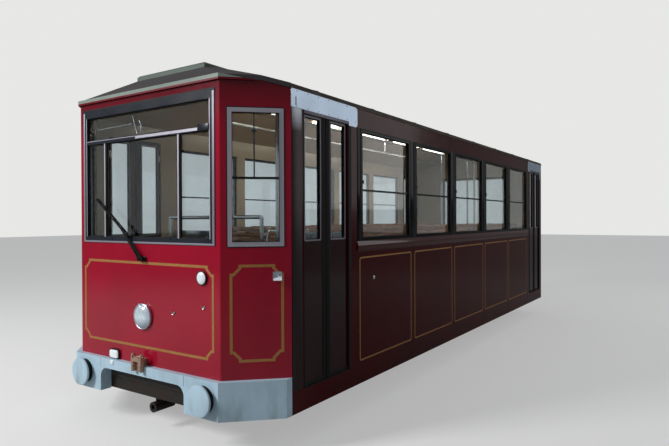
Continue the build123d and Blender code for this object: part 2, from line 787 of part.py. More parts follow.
for name, bogie_x in bogie_places:
    plate_low_z = bolster_plate_z + 24
    half = bolster_width / 2
    bolster_beam = block(bogie_x - half, bogie_x + half, -inner_half, inner_half, plate_low_z, sill_top_z)
    under_parts.append(bolster_beam)
    under_parts.append(block(
        bogie_x - centre_plate_half, bogie_x + centre_plate_half, -centre_plate_half, centre_plate_half,
        bolster_plate_z, plate_low_z,
    ))
    under_parts.append(tube_z(pivot_radius, bogie_x, 0, bolster_low + 30, bolster_plate_z))
save("underframe", fuse(under_parts))

# Coupling bar at the rear and the haul rope's socket under the front
draw_z = (end_top_z + end_low_z) / 2
draw_end_x = rear_x - buffer_reach
draw_eye_x = draw_end_x + draw_eye_radius
draw_bar = block(
    draw_eye_x, rear_x, -draw_bar_half, draw_bar_half, draw_z - draw_thick / 2, draw_z + draw_thick / 2
)
draw_eye = tube_z(draw_eye_radius, draw_eye_x, 0, draw_z - draw_thick / 2, draw_z + draw_thick / 2)
draw_plate = block(rear_x - 14, rear_x, -110, 110, draw_z - 52, draw_z + 90)
drawbar = fuse([draw_bar, draw_eye, draw_plate]) - tube_z(draw_hole_radius, draw_eye_x, 0, 0, side_roof_z)
save("rear_drawbar", drawbar)
rope_z = end_low_z - rope_drop
rope_mouth_x = nose_sill_x - 30
rope_profile = [
    # radius, distance back from the mouth
    (rope_hole_radius, 0), (rope_hole_radius + rope_wall, 0), (rope_hole_radius + rope_wall, -rope_length),
    (rope_hole_radius, -rope_length),
]
rope_socket = turned_x(rope_profile, rope_mouth_x, 0, rope_z)
rope_hanger = block(
    rope_mouth_x - rope_length, rope_mouth_x - rope_lip, -rope_hanger_half, rope_hanger_half,
    rope_z + rope_hole_radius + rope_wall / 2, end_low_z,
)
save("rope_socket", fuse([rope_socket, rope_hanger]))
equipment = block(
    saloon_middle_x - equipment_length / 2, saloon_middle_x + equipment_length / 2, -equipment_half,
    equipment_half, sill_low_z - equipment_depth, sill_low_z,
)
save("equipment_box", fillet(equipment.edges().filter_by(Axis.X).group_by(Axis.Z)[0], 30))

# Wheelsets: a double-flanged wheel on the left, a wide flangeless drum on the right
rail_y = gauge / 2
side_beam_y = rail_y + side_beam_gap
flange_radius = tread_radius + flange_height
half_tread = flanged_tread_width / 2
wheel_half = half_tread + flange_thick
flanged_rim = [
    # radius, y from the middle of the tread
    (flange_radius, -wheel_half), (flange_radius, -half_tread), (tread_radius, -half_tread),
    (tread_radius, half_tread), (flange_radius, half_tread), (flange_radius, wheel_half),
]
drum_rim = [(tread_radius, -drum_width / 2), (tread_radius, drum_width / 2)]
wheels = [
    # y of the rail, rim outline
    (-rail_y, drum_rim),
    (rail_y, flanged_rim),
]


def wheelset(axle_x):
    journal_end = side_beam_y + side_beam_width / 2 - 12
    outline = [(0, -journal_end), (axle_radius, -journal_end)]
    for wheel_y, rim in wheels:
        outline.append((axle_radius, wheel_y + rim[0][1]))
        outline += [(radius, wheel_y + y) for radius, y in rim]
        outline.append((axle_radius, wheel_y + rim[-1][1]))
    outline += [(axle_radius, journal_end), (0, journal_end)]
    return turned_y(outline, axle_x, axle_z)


# Bogies: side frames with axle boxes, layered rubber springs and a bolster with a bowl for the pivot
for name, bogie_x in bogie_places:
    frame_parts = []
    beam_in = side_beam_y - side_beam_width / 2
    beam_out = side_beam_y + side_beam_width / 2
    arm = axle_spacing / 2
    box_half = axle_box / 2
    beam_outline = [
        # x from the bogie's middle, z: the top edge, then the underside
        (-arm - box_half, axle_z - box_half), (-arm - box_half, axle_z + box_half - 20),
        (-arm - box_half + 30, axle_z + box_half), (-arm + box_half, axle_z + box_half),
        (-bolster_width / 2 - 40, beam_top_z), (bolster_width / 2 + 40, beam_top_z),
        (arm - box_half, axle_z + box_half), (arm + box_half - 30, axle_z + box_half),
        (arm + box_half, axle_z + box_half - 20), (arm + box_half, axle_z - box_half),
        (arm - box_half, axle_z - box_half), (arm - box_half - 30, axle_z + 10),
        (bolster_width / 2, beam_top_z - beam_depth), (-bolster_width / 2, beam_top_z - beam_depth),
        (-arm + box_half + 30, axle_z + 10), (-arm + box_half, axle_z - box_half),
    ]
    beam = Pos(bogie_x, 0, 0) * profile_xz(beam_outline, beam_in, beam_out)
    for axle_x in (bogie_x - arm, bogie_x + arm):
        bore = axle_radius + journal_clearance
        beam -= block(
            axle_x - bore, axle_x + bore, beam_in - 1, beam_out - 10, axle_z - bore, axle_z + bore
        )
        cap_low_z = axle_z - axle_cap_half
        cap_x = axle_x - axle_cap_half
        beam = fuse([beam, block(
            cap_x, cap_x + 2 * axle_cap_half, beam_out - 10, beam_out + axle_cap_proud, cap_low_z,
            cap_low_z + 2 * axle_cap_half,
        )])
    frame_parts += both_sides(beam)
    half = bolster_width / 2
    bolster = block(bogie_x - half, bogie_x + half, -side_beam_y, side_beam_y, bolster_low, bolster_mid_z)
    frame_parts.append(bolster)
    frame_parts.append(block(
        bogie_x - centre_plate_half, bogie_x + centre_plate_half, -centre_plate_half, centre_plate_half,
        bolster_mid_z, bolster_high,
    ))
    layer = (bolster_high - bolster_mid_z) / (2 * spring_layers)
    spring_in = side_beam_y - spring_inset - spring_half
    spring_out = spring_in + 2 * spring_half
    for spring_x in (bogie_x - half + spring_half, bogie_x + half - spring_half):
        for index in range(2 * spring_layers):
            inset = 0 if index % 2 else spring_step
            low_z = bolster_mid_z + index * layer
            frame_parts += both_sides(block(
                spring_x - spring_half + inset, spring_x + spring_half - inset, spring_in + inset,
                spring_out - inset, low_z, low_z + layer,
            ))
    bowl = tube_z(pivot_radius + journal_clearance, bogie_x, 0, bolster_low + 28, bolster_high + 1)
    save(f"{name}_bogie_frame", fuse(frame_parts) - bowl)
    save(f"{name}_bogie_front_wheelset", wheelset(bogie_x + arm))
    save(f"{name}_bogie_rear_wheelset", wheelset(bogie_x - arm))
    # A gripping brake hangs over the left rail: two jaws, a body and a hanger from the bolster.
    length = brake_length / 2
    brake_top_z = brake_body_z + brake_body_depth
    brake = [
        block(
            bogie_x - length / 2, bogie_x + length / 2, rail_y - brake_half / 2, rail_y + brake_half / 2,
            brake_top_z, bolster_low,
        ),
        block(
            bogie_x - length, bogie_x + length, rail_y - brake_half, rail_y + brake_half,
            brake_body_z, brake_top_z,
        ),
    ]
    for side in (-1, 1):
        jaw = sorted((rail_y + side * jaw_gap, rail_y + side * (jaw_gap + jaw_thick)))
        brake.append(block(bogie_x - length, bogie_x + length, *jaw, brake_bottom, brake_body_z))
    save(f"{name}_rail_brake", fuse(brake))

# Inside the cab: a sloped desk, the driver's seat and a low screen with handrails behind it
desk_back_x = front_x - wall - console_depth
desk_top_z = threshold_z + console_height
desk_half = nose_half - wall - 140
desk_outline = [
    (desk_back_x + 60, threshold_z), (desk_back_x + 60, desk_top_z - 190),
    (desk_back_x, desk_top_z - 150),
    (desk_back_x + 20, desk_top_z - 90), (desk_back_x + 180, desk_top_z), (front_x - wall, desk_top_z),
    (front_x - wall, threshold_z),
]
save("driver_desk", profile_xz(desk_outline, -desk_half, desk_half))
driver_seat_x = front_x - driver_seat_place
seat_top_z = threshold_z + driver_seat_height
seat_low_z = seat_top_z - driver_cushion
seat_back_x = driver_seat_x - driver_seat_depth / 2
seat_half = driver_seat_width / 2
back_outline = [
    (seat_back_x, seat_low_z), (seat_back_x + driver_back_thick, seat_top_z),
    (seat_back_x + driver_back_thick / 4, seat_top_z + driver_back_height),
    (seat_back_x - driver_back_thick * 3 / 4, seat_top_z + driver_back_height),
]
driver_seat = fuse([
    Pos(driver_seat_x, 0, (threshold_z + seat_low_z) / 2) * Box(
        driver_foot / 5, driver_foot / 5, seat_low_z - threshold_z
    ),
    Pos(driver_seat_x, 0, threshold_z + screen_thick / 2) * Box(driver_foot, driver_foot, screen_thick),
    block(seat_back_x, seat_back_x + driver_seat_depth, -seat_half, seat_half, seat_low_z, seat_top_z),
    profile_xz(back_outline, -seat_half, seat_half),
])
save("driver_seat", driver_seat)
driver_screen_x = front_x - driver_screen_place
driver_screen_half = nose_half - driver_screen_inset
screen_parts = [block(
    driver_screen_x - screen_thick / 2, driver_screen_x + screen_thick / 2, -driver_screen_half,
    driver_screen_half, threshold_z, threshold_z + driver_screen_height,
)]
for y in (-driver_screen_half, driver_screen_half):
    screen_parts.append(tube_z(pole_radius, driver_screen_x, y, threshold_z, rail_top_z))
rail = tube_y(pole_radius, driver_screen_x, rail_top_z, -driver_screen_half, driver_screen_half)
save("driver_screen", fuse(screen_parts + [rail]))

# Saloon benches in rows each side of the aisle, all facing the cab
bench_inner_y = aisle_half
bench_outer_y = inner_half - bench_wall_gap
bench_start_x = saloon_front_x - bench_first_gap
bench_pitch = (saloon_front_x - saloon_rear_x - bench_first_gap - bench_last_gap) / bench_rows
benches = []
for index in range(bench_rows):
    back_x = bench_start_x - index * bench_pitch - bench_seat_depth
    seat_z = saloon_floor_z + bench_seat_height
    outline = [
        # x, z of the bent board: seat front, round under the seat and up the back
        (back_x + bench_seat_depth, seat_z), (back_x + bench_seat_depth, seat_z - bench_board),
        (back_x - bench_board, seat_z - bench_board - 10),
        (back_x - bench_back_lean - bench_board, saloon_floor_z + bench_back_height),
        (back_x - bench_back_lean, saloon_floor_z + bench_back_height), (back_x, seat_z - 10),
    ]
    board = profile_xz(outline, bench_inner_y, bench_outer_y)
    leg_outline = [
        (back_x + 60, saloon_floor_z), (back_x + bench_seat_depth - 120, saloon_floor_z),
        (back_x + bench_seat_depth - 60, seat_z - bench_board), (back_x + 20, seat_z - bench_board - 2),
    ]
    legs = [profile_xz(leg_outline, y - bench_leg / 2, y + bench_leg / 2)
            for y in (bench_inner_y + 120, bench_outer_y - 120)]
    benches += both_sides(fuse([board] + legs))
save("bench_seats", *benches)

# Grab poles with a rail under the ceiling, and a draught screen between each pole and its wall
poles = []
ceiling_z = roof_top_z - roof_band
pole_y = aisle_half + 60
pole_places = (saloon_front_x - 30, saloon_rear_x + 30)
ceiling_rail_z = ceiling_z - ceiling_rail_drop
rail_parts = [block(
    pole_places[1], pole_places[0], pole_y - hanger_half, pole_y + hanger_half,
    ceiling_rail_z - hanger_half, ceiling_rail_z + hanger_half,
)]
for x in pole_places:
    rail_parts.append(tube_z(pole_radius, x, pole_y, saloon_floor_z, ceiling_z))
    rail_parts.append(block(
        x - screen_thick / 2, x + screen_thick / 2, pole_y, inner_half - bench_wall_gap,
        saloon_floor_z + 90, saloon_floor_z + screen_height,
    ))
hanger_pitch = (pole_places[0] - pole_places[1]) / (hanger_count + 1)
for index in range(hanger_count):
    x = pole_places[1] + (index + 1) * hanger_pitch
    rail_parts.append(block(
        x - hanger_half, x + hanger_half, pole_y - hanger_half, pole_y + hanger_half,
        ceiling_rail_z, ceiling_z,
    ))
poles += both_sides(fuse(rail_parts))
poles.append(tube_z(pole_radius, (rear_x + saloon_rear_x) / 2, 0, threshold_z, ceiling_z))
save("grab_poles", *poles)
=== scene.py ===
import itertools
import math

import bmesh
import bpy
from mathutils import Euler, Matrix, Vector


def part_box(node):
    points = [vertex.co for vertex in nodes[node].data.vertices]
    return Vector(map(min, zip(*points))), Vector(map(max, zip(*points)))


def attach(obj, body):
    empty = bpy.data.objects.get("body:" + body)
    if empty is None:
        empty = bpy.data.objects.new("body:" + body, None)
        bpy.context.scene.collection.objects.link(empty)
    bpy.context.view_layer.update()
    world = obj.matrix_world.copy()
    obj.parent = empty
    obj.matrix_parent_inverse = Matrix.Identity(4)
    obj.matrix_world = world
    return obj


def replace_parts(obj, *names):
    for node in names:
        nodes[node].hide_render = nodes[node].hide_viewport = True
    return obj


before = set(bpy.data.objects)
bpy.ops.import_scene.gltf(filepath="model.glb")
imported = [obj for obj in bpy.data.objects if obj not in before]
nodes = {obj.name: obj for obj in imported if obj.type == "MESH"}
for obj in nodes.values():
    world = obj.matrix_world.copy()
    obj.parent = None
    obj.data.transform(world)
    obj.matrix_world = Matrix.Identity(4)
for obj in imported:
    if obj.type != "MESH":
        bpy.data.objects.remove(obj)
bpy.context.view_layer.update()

# Funicular car: crimson cab, saloon in a darker maroon that is partly painted shade, gold lining. Metres, X forward, Y
# to the car's left, Z up.
scene = bpy.context.scene
print("frame loaded:", len(nodes), "nodes")


def lowOf(node):
    return Vector(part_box(node)[0])


def highOf(node):
    return Vector(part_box(node)[1])


car = {
    "frontX": highOf("cab_shell").x, "noseBackX": lowOf("cab_shell").x, "rearX": lowOf("rear_wall").x,
    "noseHalf": highOf("windscreen_frame").y + 0.055, "halfWidth": highOf("cab_shell").y,
    "saloonFrontX": highOf("side_wall_left").x, "saloonRearX": lowOf("side_wall_left").x,
    "skirtZ": lowOf("side_wall_left").z, "roofEdgeZ": lowOf("saloon_roof").z, "roofTopZ": highOf("saloon_roof").z,
    "bays": 5, "pillar": 0.155,
}
bayPitch = (car["saloonFrontX"] - car["saloonRearX"]) / car["bays"]
cornerRun = Vector((car["noseBackX"] - car["frontX"], car["halfWidth"] - car["noseHalf"], 0))
cornerLength = cornerRun.length
cornerRun = cornerRun.normalized()
cornerOut = Vector((cornerRun.y, -cornerRun.x, 0))


# Camera: the photograph's view from the platform
camera = {
    "place": (7.404, 4.142, 1.880), "yaw": 33.75, "pitch": -0.416, "roll": -0.22, "lens": 30.09, "sensor": 36.0,
    "near": 0.05, "far": 200,
}


def makeCamera():
    data = bpy.data.cameras.new("platformCamera")
    data.lens, data.sensor_width = camera["lens"], camera["sensor"]
    data.clip_start, data.clip_end = camera["near"], camera["far"]
    view = bpy.data.objects.new("platformCamera", data)
    scene.collection.objects.link(view)
    yaw, pitch = math.radians(camera["yaw"]), math.radians(camera["pitch"])
    ahead = Vector((-math.cos(yaw) * math.cos(pitch), -math.sin(yaw) * math.cos(pitch), math.sin(pitch)))
    turn = ahead.to_track_quat("-Z", "Y") @ Euler((0, 0, math.radians(camera["roll"]))).to_quaternion()
    view.rotation_mode = "QUATERNION"
    view.rotation_quaternion = turn
    view.location = camera["place"]
    scene.camera = view


# Shader nodes: each helper adds a node to a tree and returns what it puts out
finishes = {}


def feed(tree, node, inputs):
    for key, value in inputs.items():
        socket = node.inputs[key]
        if isinstance(value, bpy.types.NodeSocket):
            tree.links.new(value, socket)
        else:
            socket.default_value = (*value, 1) if socket.type == "RGBA" else value
    return node


def wire(tree, kind, inputs, **settings):
    node = tree.nodes.new("ShaderNode" + kind)
    for key, value in settings.items():
        setattr(node, key, value)
    return feed(tree, node, inputs)


def newMaterial(name, roughness, metallic=0.0):
    mat = bpy.data.materials.new(name)
    mat.use_nodes = True
    finishes[name] = mat
    tree = mat.node_tree
    return tree, feed(tree, tree.nodes["Principled BSDF"], {"Roughness": roughness, "Metallic": metallic})


def objectPlace(tree, stretch=(1, 1, 1)):
    coords = wire(tree, "TexCoord", {}).outputs["Object"]
    return wire(tree, "Mapping", {"Scale": stretch, "Vector": coords}).outputs["Vector"]


def noise(tree, scale, detail=3.0, stretch=(1, 1, 1)):
    place = objectPlace(tree, stretch)
    return wire(tree, "TexNoise", {"Scale": scale, "Detail": detail, "Vector": place}).outputs["Fac"]


def spread(tree, value, low, high, toLow=0.0, toHigh=1.0):
    limits = {"Value": value, "From Min": low, "From Max": high, "To Min": toLow, "To Max": toHigh}
    return wire(tree, "MapRange", limits).outputs["Result"]


def blend(tree, factor, first, second):
    return wire(tree, "Mix", {0: factor, 6: first, 7: second}, data_type="RGBA").outputs[2]


def combine(tree, operation, first, second):
    return wire(tree, "Math", {0: first, 1: second}, operation=operation).outputs[0]


def multiply(tree, first, second):
    return combine(tree, "MULTIPLY", first, second)


def isOver(tree, value, limit):
    return combine(tree, "GREATER_THAN", value, limit)


def either(tree, first, second):
    return combine(tree, "MAXIMUM", first, second)


def axisOf(tree, axis):
    return wire(tree, "SeparateXYZ", {0: objectPlace(tree)}).outputs[axis]


def facing(tree, axis):
    normal = wire(tree, "NewGeometry", {}).outputs["True Normal"]
    return wire(tree, "SeparateXYZ", {0: normal}).outputs[axis]


def bump(tree, height, strength, distance):
    return wire(tree, "Bump", {"Strength": strength, "Distance": distance, "Height": height}).outputs["Normal"]


def colour(red, green, blue):
    shares = (value / 255 for value in (red, green, blue))
    return tuple(c / 12.92 if c <= 0.04045 else ((c + 0.055) / 1.055) ** 2.4 for c in shares)


def shaded(base, factor):
    return tuple(min(c * factor, 1) for c in base)


def tones(tree, factor, base, dark, bright, low=0.3, high=0.7):
    return blend(tree, spread(tree, factor, low, high), shaded(base, dark), shaded(base, bright))


def rough(tree, factor, base, dark, bright):
    return spread(tree, factor, 0.3, 0.7, base * dark, min(base * bright, 1))


# Studio: pale floor, pale surround for what the eye and the gloss see, soft lamps on the object
studio = {
    "ambient": ((0.92, 0.96, 1.0), 0.19), "gloss": ((0.95, 0.97, 1.0), 0.14), "surround": ((0.80, 0.80, 0.79), 1.0),
    "reach": 60, "floorColour": (0.45, 0.45, 0.44), "floorSeen": (0.54, 0.54, 0.535), "floorGlow": 0.38,
    "lamps": [
        ("keyLamp", 1050, 3.4, (12.5, -5.3, 7.9), (car["frontX"], 0, 1.6)),
        ("sideLamp", 110, 7.0, (-7.5, 9.0, 5.5), (-1.0, 1.3, 1.8)),
        ("topLamp", 45, 8.0, (0.0, 0.0, 9.0), (0, 0, 3)),
    ],
}


def makeLamp(name, power, size, place, target):
    data = bpy.data.lights.new(name, "AREA")
    data.energy, data.size = power, size
    lamp = bpy.data.objects.new(name, data)
    lamp.location = place
    lamp.rotation_euler = (Vector(target) - Vector(place)).to_track_quat("-Z", "Y").to_euler()
    scene.collection.objects.link(lamp)


def makeWorld():
    world = bpy.data.worlds.new("studioWorld")
    world.use_nodes = True
    scene.world = world
    tree = world.node_tree
    tree.nodes.clear()
    rays = wire(tree, "LightPath", {}).outputs
    ambient, gloss, surround = (
        wire(tree, "Background", {"Color": studio[name][0], "Strength": studio[name][1]}).outputs[0]
        for name in ("ambient", "gloss", "surround")
    )
    light = wire(tree, "MixShader", {0: rays["Is Glossy Ray"], 1: ambient, 2: gloss}).outputs[0]
    seen = either(tree, rays["Is Camera Ray"], rays["Is Transmission Ray"])
    sky = wire(tree, "MixShader", {0: seen, 1: light, 2: surround}).outputs[0]
    wire(tree, "OutputWorld", {"Surface": sky})


def makeFloor():
    data, reach = bpy.data.meshes.new("studioFloor"), studio["reach"]
    corners = [(-reach, -reach, 0), (reach, -reach, 0), (reach, reach, 0), (-reach, reach, 0)]
    data.from_pydata(corners, [], [(0, 1, 2, 3)])
    floor = bpy.data.objects.new("studioFloor", data)
    scene.collection.objects.link(floor)
    tree, shader = newMaterial("floorPaint", 0.9)
    seen = wire(tree, "LightPath", {}).outputs["Is Camera Ray"]
    feed(tree, shader, {
        "Base Color": blend(tree, seen, studio["floorColour"], studio["floorSeen"]), "Specular IOR Level": 0.1,
        "Emission Color": (1, 1, 1), "Emission Strength": multiply(tree, seen, studio["floorGlow"]),
    })
    data.materials.append(finishes["floorPaint"])


makeCamera()
makeWorld()
makeFloor()
for lampSpec in studio["lamps"]:
    makeLamp(*lampSpec)
scene.view_settings.view_transform = "Standard"
print("camera and studio ready")


# Masks: which part of a node's skin is outside, from its place and the way it faces
skin = {"nose": 0.02, "wall": 0.004, "reveal": 0.045, "roofFacing": -0.05, "fasciaDrop": 0.030}


def outsideOfShell(tree):
    aside, ahead = combine(tree, "ABSOLUTE", axisOf(tree, 1), 0.0), axisOf(tree, 0)
    across = combine(tree, "ADD", multiply(tree, aside, cornerOut.y), multiply(tree, ahead, cornerOut.x))
    cornerPlane = cornerOut.x * car["frontX"] + cornerOut.y * car["noseHalf"]
    front = isOver(tree, ahead, car["frontX"] - skin["nose"])
    corner = isOver(tree, across, cornerPlane - skin["nose"])
    side = isOver(tree, aside, car["halfWidth"] - skin["wall"])
    return either(tree, side, either(tree, front, corner))


def outsideOfSide(tree):
    return isOver(tree, combine(tree, "ABSOLUTE", axisOf(tree, 1), 0.0), car["halfWidth"] - skin["reveal"])


def outsideOfRear(tree):
    return either(tree, outsideOfSide(tree), combine(tree, "LESS_THAN", axisOf(tree, 0), car["rearX"] + skin["wall"]))


def fasciaUpper(tree):
    return isOver(tree, axisOf(tree, 2), highOf("roof_fascia").z - skin["fasciaDrop"])


def roofOutside(tree):
    return isOver(tree, facing(tree, 2), skin["roofFacing"])


# Materials
# Dirt darkens the paint toward the bottom; painted shade darkens the cab paint toward the roof edge, under the eave.
grimeAndEaveShade = {"grime": (0.75, 0.28), "grimeShare": 0.45, "eaveShade": (2.62, 2.98), "eaveShadeColour": (52, 10, 16)}


def paintedSteel(name, base, roughness=0.2, dirt=(70, 62, 52), inner=None, coat=0.35, mask=None, shine=0.25, eaveShade=0.0):
    tree, shader = newMaterial(name, roughness)
    paint = tones(tree, noise(tree, 1.6, 4), colour(*base), 0.90, 1.08, 0.35, 0.65)
    height = axisOf(tree, 2)
    clouds = spread(tree, noise(tree, 9, 5, (1, 1, 0.35)), 0.45, 0.75)
    grime = multiply(tree, spread(tree, height, *grimeAndEaveShade["grime"]), clouds)
    paint = blend(tree, multiply(tree, grime, grimeAndEaveShade["grimeShare"]), paint, colour(*dirt))
    # Painted shade under the eave: the paint darkens toward the roof edge where the overhanging roof would shade it.
    if eaveShade:
        paint = blend(tree, spread(tree, height, *grimeAndEaveShade["eaveShade"], 0.0, eaveShade), paint, colour(*grimeAndEaveShade["eaveShadeColour"]))
    if mask:
        paint = blend(tree, mask(tree), colour(*inner), paint)
    feed(tree, shader, {
        "Base Color": paint, "Coat Weight": coat, "Coat Roughness": 0.06, "Specular IOR Level": shine,
        "Roughness": rough(tree, noise(tree, 5, 4), roughness, 0.8, 1.35),
        "Normal": bump(tree, noise(tree, 260, 2), 0.05, 0.0006),
    })


def brushedMetal(name, base, roughness=0.28, stretch=(1, 1, 18), scale=30, streak=0.10, metallic=1.0):
    tree, shader = newMaterial(name, roughness, metallic)
    lines = noise(tree, scale, 5, stretch)
    feed(tree, shader, {
        "Base Color": tones(tree, lines, colour(*base), 1 - streak, 1 + streak),
        "Roughness": rough(tree, lines, roughness, 0.8, 1.4), "Normal": bump(tree, lines, 0.06, 0.0004),
    })
    return tree, shader


def rubber(name, base=(22, 22, 24), roughness=0.55):
    tree, shader = newMaterial(name, roughness)
    grain, base = noise(tree, 45, 5), colour(*base)
    feed(tree, shader, {
        "Base Color": blend(tree, spread(tree, grain, 0.4, 0.8), base, tuple(c * 1.8 + 0.01 for c in base)),
        "Roughness": rough(tree, grain, roughness, 0.85, 1.2), "Specular IOR Level": 0.3,
        "Normal": bump(tree, noise(tree, 700, 2), 0.12, 0.0004),
    })


def grimySteel(name, base, rust=(74, 46, 30), roughness=0.6, amount=0.5, metallic=0.35):
    tree, shader = newMaterial(name, roughness, metallic)
    blotch, speck = noise(tree, 7, 8), noise(tree, 60, 6)
    rusted = multiply(tree, spread(tree, blotch, 0.48, 0.72), amount)
    feed(tree, shader, {
        "Base Color": blend(tree, rusted, tones(tree, speck, colour(*base), 0.7, 1.25), colour(*rust)),
        "Roughness": rough(tree, blotch, roughness, 0.75, 1.4), "Normal": bump(tree, speck, 0.25, 0.0012),
    })


def varnishedWood(name, pale, deep, stretch=(1.0, 0.12, 1.0), rings=34):
    tree, shader = newMaterial(name, 0.32)
    shape = {"Scale": rings, "Distortion": 7, "Detail": 4, "Vector": objectPlace(tree, stretch)}
    grain = wire(tree, "TexWave", shape, wave_type="BANDS", bands_direction="X").outputs["Fac"]
    plank = blend(tree, grain, colour(*deep), colour(*pale))
    feed(tree, shader, {
        "Base Color": blend(tree, spread(tree, noise(tree, 3.1, 2), 0.35, 0.65), plank, colour(*pale)),
        "Coat Weight": 0.5, "Coat Roughness": 0.12, "Roughness": spread(tree, grain, 0.3, 0.7, 0.26, 0.4),
        "Normal": bump(tree, grain, 0.08, 0.0006),
    })


def mouldedPlastic(name, base, roughness=0.42, grain=420):
    tree, shader = newMaterial(name, roughness)
    feed(tree, shader, {
        "Base Color": tones(tree, noise(tree, 4, 3), colour(*base), 0.86, 1.1),
        "Roughness": rough(tree, noise(tree, 11, 3), roughness, 0.85, 1.2),
        "Normal": bump(tree, noise(tree, grain, 2), 0.12, 0.0005),
    })


def clearGlass(name, tint, roughness=0.0, smear=0.03):
    tree, shader = newMaterial(name, roughness)
    feed(tree, shader, {
        "Base Color": tones(tree, noise(tree, 2.3, 4), tint, 1.0, 0.93), "Transmission Weight": 1.0, "IOR": 1.46,
        "Roughness": spread(tree, noise(tree, 6, 6), 0.4, 0.8, roughness, roughness + smear),
    })


def overlay(tree, shader, factor, shade):
    plain = shader.inputs["Base Color"].links[0].from_socket
    feed(tree, shader, {"Base Color": blend(tree, factor, plain, colour(*shade))})


def makeLampFinishes():
    clearGlass("lensGlass", (0.93, 0.96, 1.0), 0.04, 0.08)
    clearGlass("redLens", (0.75, 0.03, 0.03), 0.08, 0.10)
    # The headlamp lens glows faintly and darkens toward the bottom: painted reflection of the reflector behind the
    # glass, not a lit lamp.
    tree, shader = brushedMetal("silverLens", (214, 230, 248), 0.16, (1, 3, 1), 34, 0.24, 0.3)
    feed(tree, shader, {
        "Coat Weight": 1.0, "Coat Roughness": 0.05, "Emission Color": (0.72, 0.86, 1.0), "Emission Strength": 0.14,
    })
    overlay(tree, shader, spread(tree, axisOf(tree, 2), 1.015, 0.930), (96, 112, 122))
    tree, shader = newMaterial("milkLens", 0.22)
    ribs = noise(tree, 120, 2, (1, 1, 0.2))
    feed(tree, shader, {
        "Base Color": blend(tree, ribs, colour(206, 214, 218), colour(245, 248, 250)), "Subsurface Weight": 0.15,
        "Coat Weight": 0.7, "Emission Color": (0.9, 0.95, 1.0), "Emission Strength": 0.25,
        "Normal": bump(tree, ribs, 0.15, 0.0006),
    })
    tree, shader = newMaterial("tubeLight", 0.4)
    feed(tree, shader, {
        "Base Color": blend(tree, noise(tree, 3), (0.80, 0.76, 0.68), (0.9, 0.86, 0.8)),
        "Emission Color": (1.0, 0.93, 0.80), "Emission Strength": 7.0,
    })


def makeLeather():
    tree, shader = newMaterial("seatLeather", 0.45)
    creases = noise(tree, 22, 6)
    cells = wire(tree, "TexVoronoi", {"Scale": 420, "Vector": objectPlace(tree)}).outputs["Distance"]
    feed(tree, shader, {
        "Base Color": blend(tree, spread(tree, creases, 0.35, 0.7), colour(30, 30, 34), colour(58, 57, 60)),
        "Roughness": spread(tree, creases, 0.3, 0.7, 0.36, 0.6), "Normal": bump(tree, cells, 0.25, 0.0006),
    })


def makeMaterials():
    # The red of the sides and waist bands is much darker than the cab's crimson: partly the car's own burgundy, partly
    # painted shade for the less lit long sides.
    sideRedWithPaintedShade, cream = (78, 8, 14), (196, 182, 156)
    # The cab paint gets painted shade toward the roof edge, under the eave.
    paintedSteel("cabPaint", (168, 16, 46), 0.17, inner=(62, 58, 50), mask=outsideOfShell, eaveShade=0.7)
    paintedSteel("sidePaint", sideRedWithPaintedShade, 0.15, (46, 34, 28), inner=cream, coat=0.1, mask=outsideOfSide, shine=0.15)
    paintedSteel("rearPaint", (120, 12, 28), 0.16, inner=cream, mask=outsideOfRear)
    paintedSteel("bandPaint", sideRedWithPaintedShade, 0.10, coat=0.5)
    paintedSteel("leafPaint", (44, 8, 12), 0.16)
    paintedSteel("framePaint", (38, 43, 52), 0.30, coat=0.2)
    paintedSteel("pillarPaint", (11, 12, 18), 0.14, coat=0.04, shine=0.12)
    paintedSteel("roofPaint", (84, 76, 74), 0.52, coat=0.0, inner=(214, 178, 122), mask=roofOutside)
    paintedSteel("deckPaint", (104, 117, 109), 0.48, coat=0.0)
    paintedSteel("seamPaint", (22, 5, 8), 0.5, coat=0.0)
    paintedSteel("fasciaPaint", (146, 158, 150), 0.35, coat=0.1, inner=(118, 17, 34), mask=fasciaUpper)
    paintedSteel("cabRoofPaint", (76, 72, 74), 0.52, coat=0.0, inner=(60, 55, 44), mask=roofOutside)
    paintedSteel("bumperPaint", (198, 228, 246), 0.33, (104, 98, 88), coat=0.2)
    brushedMetal("aluminium", (206, 220, 240), 0.24, metallic=0.7)
    brushedMetal("windowAluminium", (206, 203, 216), 0.36, metallic=0.5)
    brushedMetal("dullAluminium", (150, 146, 158), 0.45, metallic=0.3)
    tree, shader = brushedMetal("headerAluminium", (208, 228, 252), 0.27, (1, 1, 1), 3, 0.06, 0.7)
    # Painted shade: the header's forward-facing end face is darkened against the light it catches.
    overlay(tree, shader, isOver(tree, facing(tree, 0), 0.5), (96, 98, 108))
    brushedMetal("poleSteel", (205, 208, 210), 0.16)
    brushedMetal("chrome", (226, 230, 236), 0.07, streak=0.03)
    brushedMetal("lampChrome", (196, 198, 212), 0.30, streak=0.03, metallic=0.7)
    brushedMetal("goldLining", (196, 142, 84), 0.42, (1, 1, 1), 60, 0.12, 0.5)
    # Painted reflection: the jamb strips are pale only at the top and fade downward to dark maroon, as if reflecting
    # overhead light.
    tree, shader = brushedMetal("jambAluminium", (206, 214, 226), 0.3, streak=0.0, metallic=0.6)
    overlay(tree, shader, spread(tree, axisOf(tree, 2), 2.78, 2.60), (58, 46, 50))
    rubber("blackRubber")
    rubber("wiperBlack", (15, 16, 18), 0.38)
    rubber("floorRubber", (58, 56, 54), 0.62)
    grimySteel("towSteel", (186, 156, 136), roughness=0.5, amount=0.25)
    grimySteel("runningGear", (52, 48, 44), amount=0.45)
    grimySteel("wheelSteel", (86, 82, 78), roughness=0.42, amount=0.3, metallic=0.8)
    grimySteel("castIron", (30, 30, 32), roughness=0.45, amount=0.1)
    varnishedWood("benchWood", (170, 108, 58), (116, 66, 32))
    mouldedPlastic("deskPlastic", (42, 44, 48))
    mouldedPlastic("switchPlastic", (20, 20, 22), 0.35)
    clearGlass("windowGlass", (0.70, 0.76, 0.78))
    makeLampFinishes()
    makeLeather()


makeMaterials()

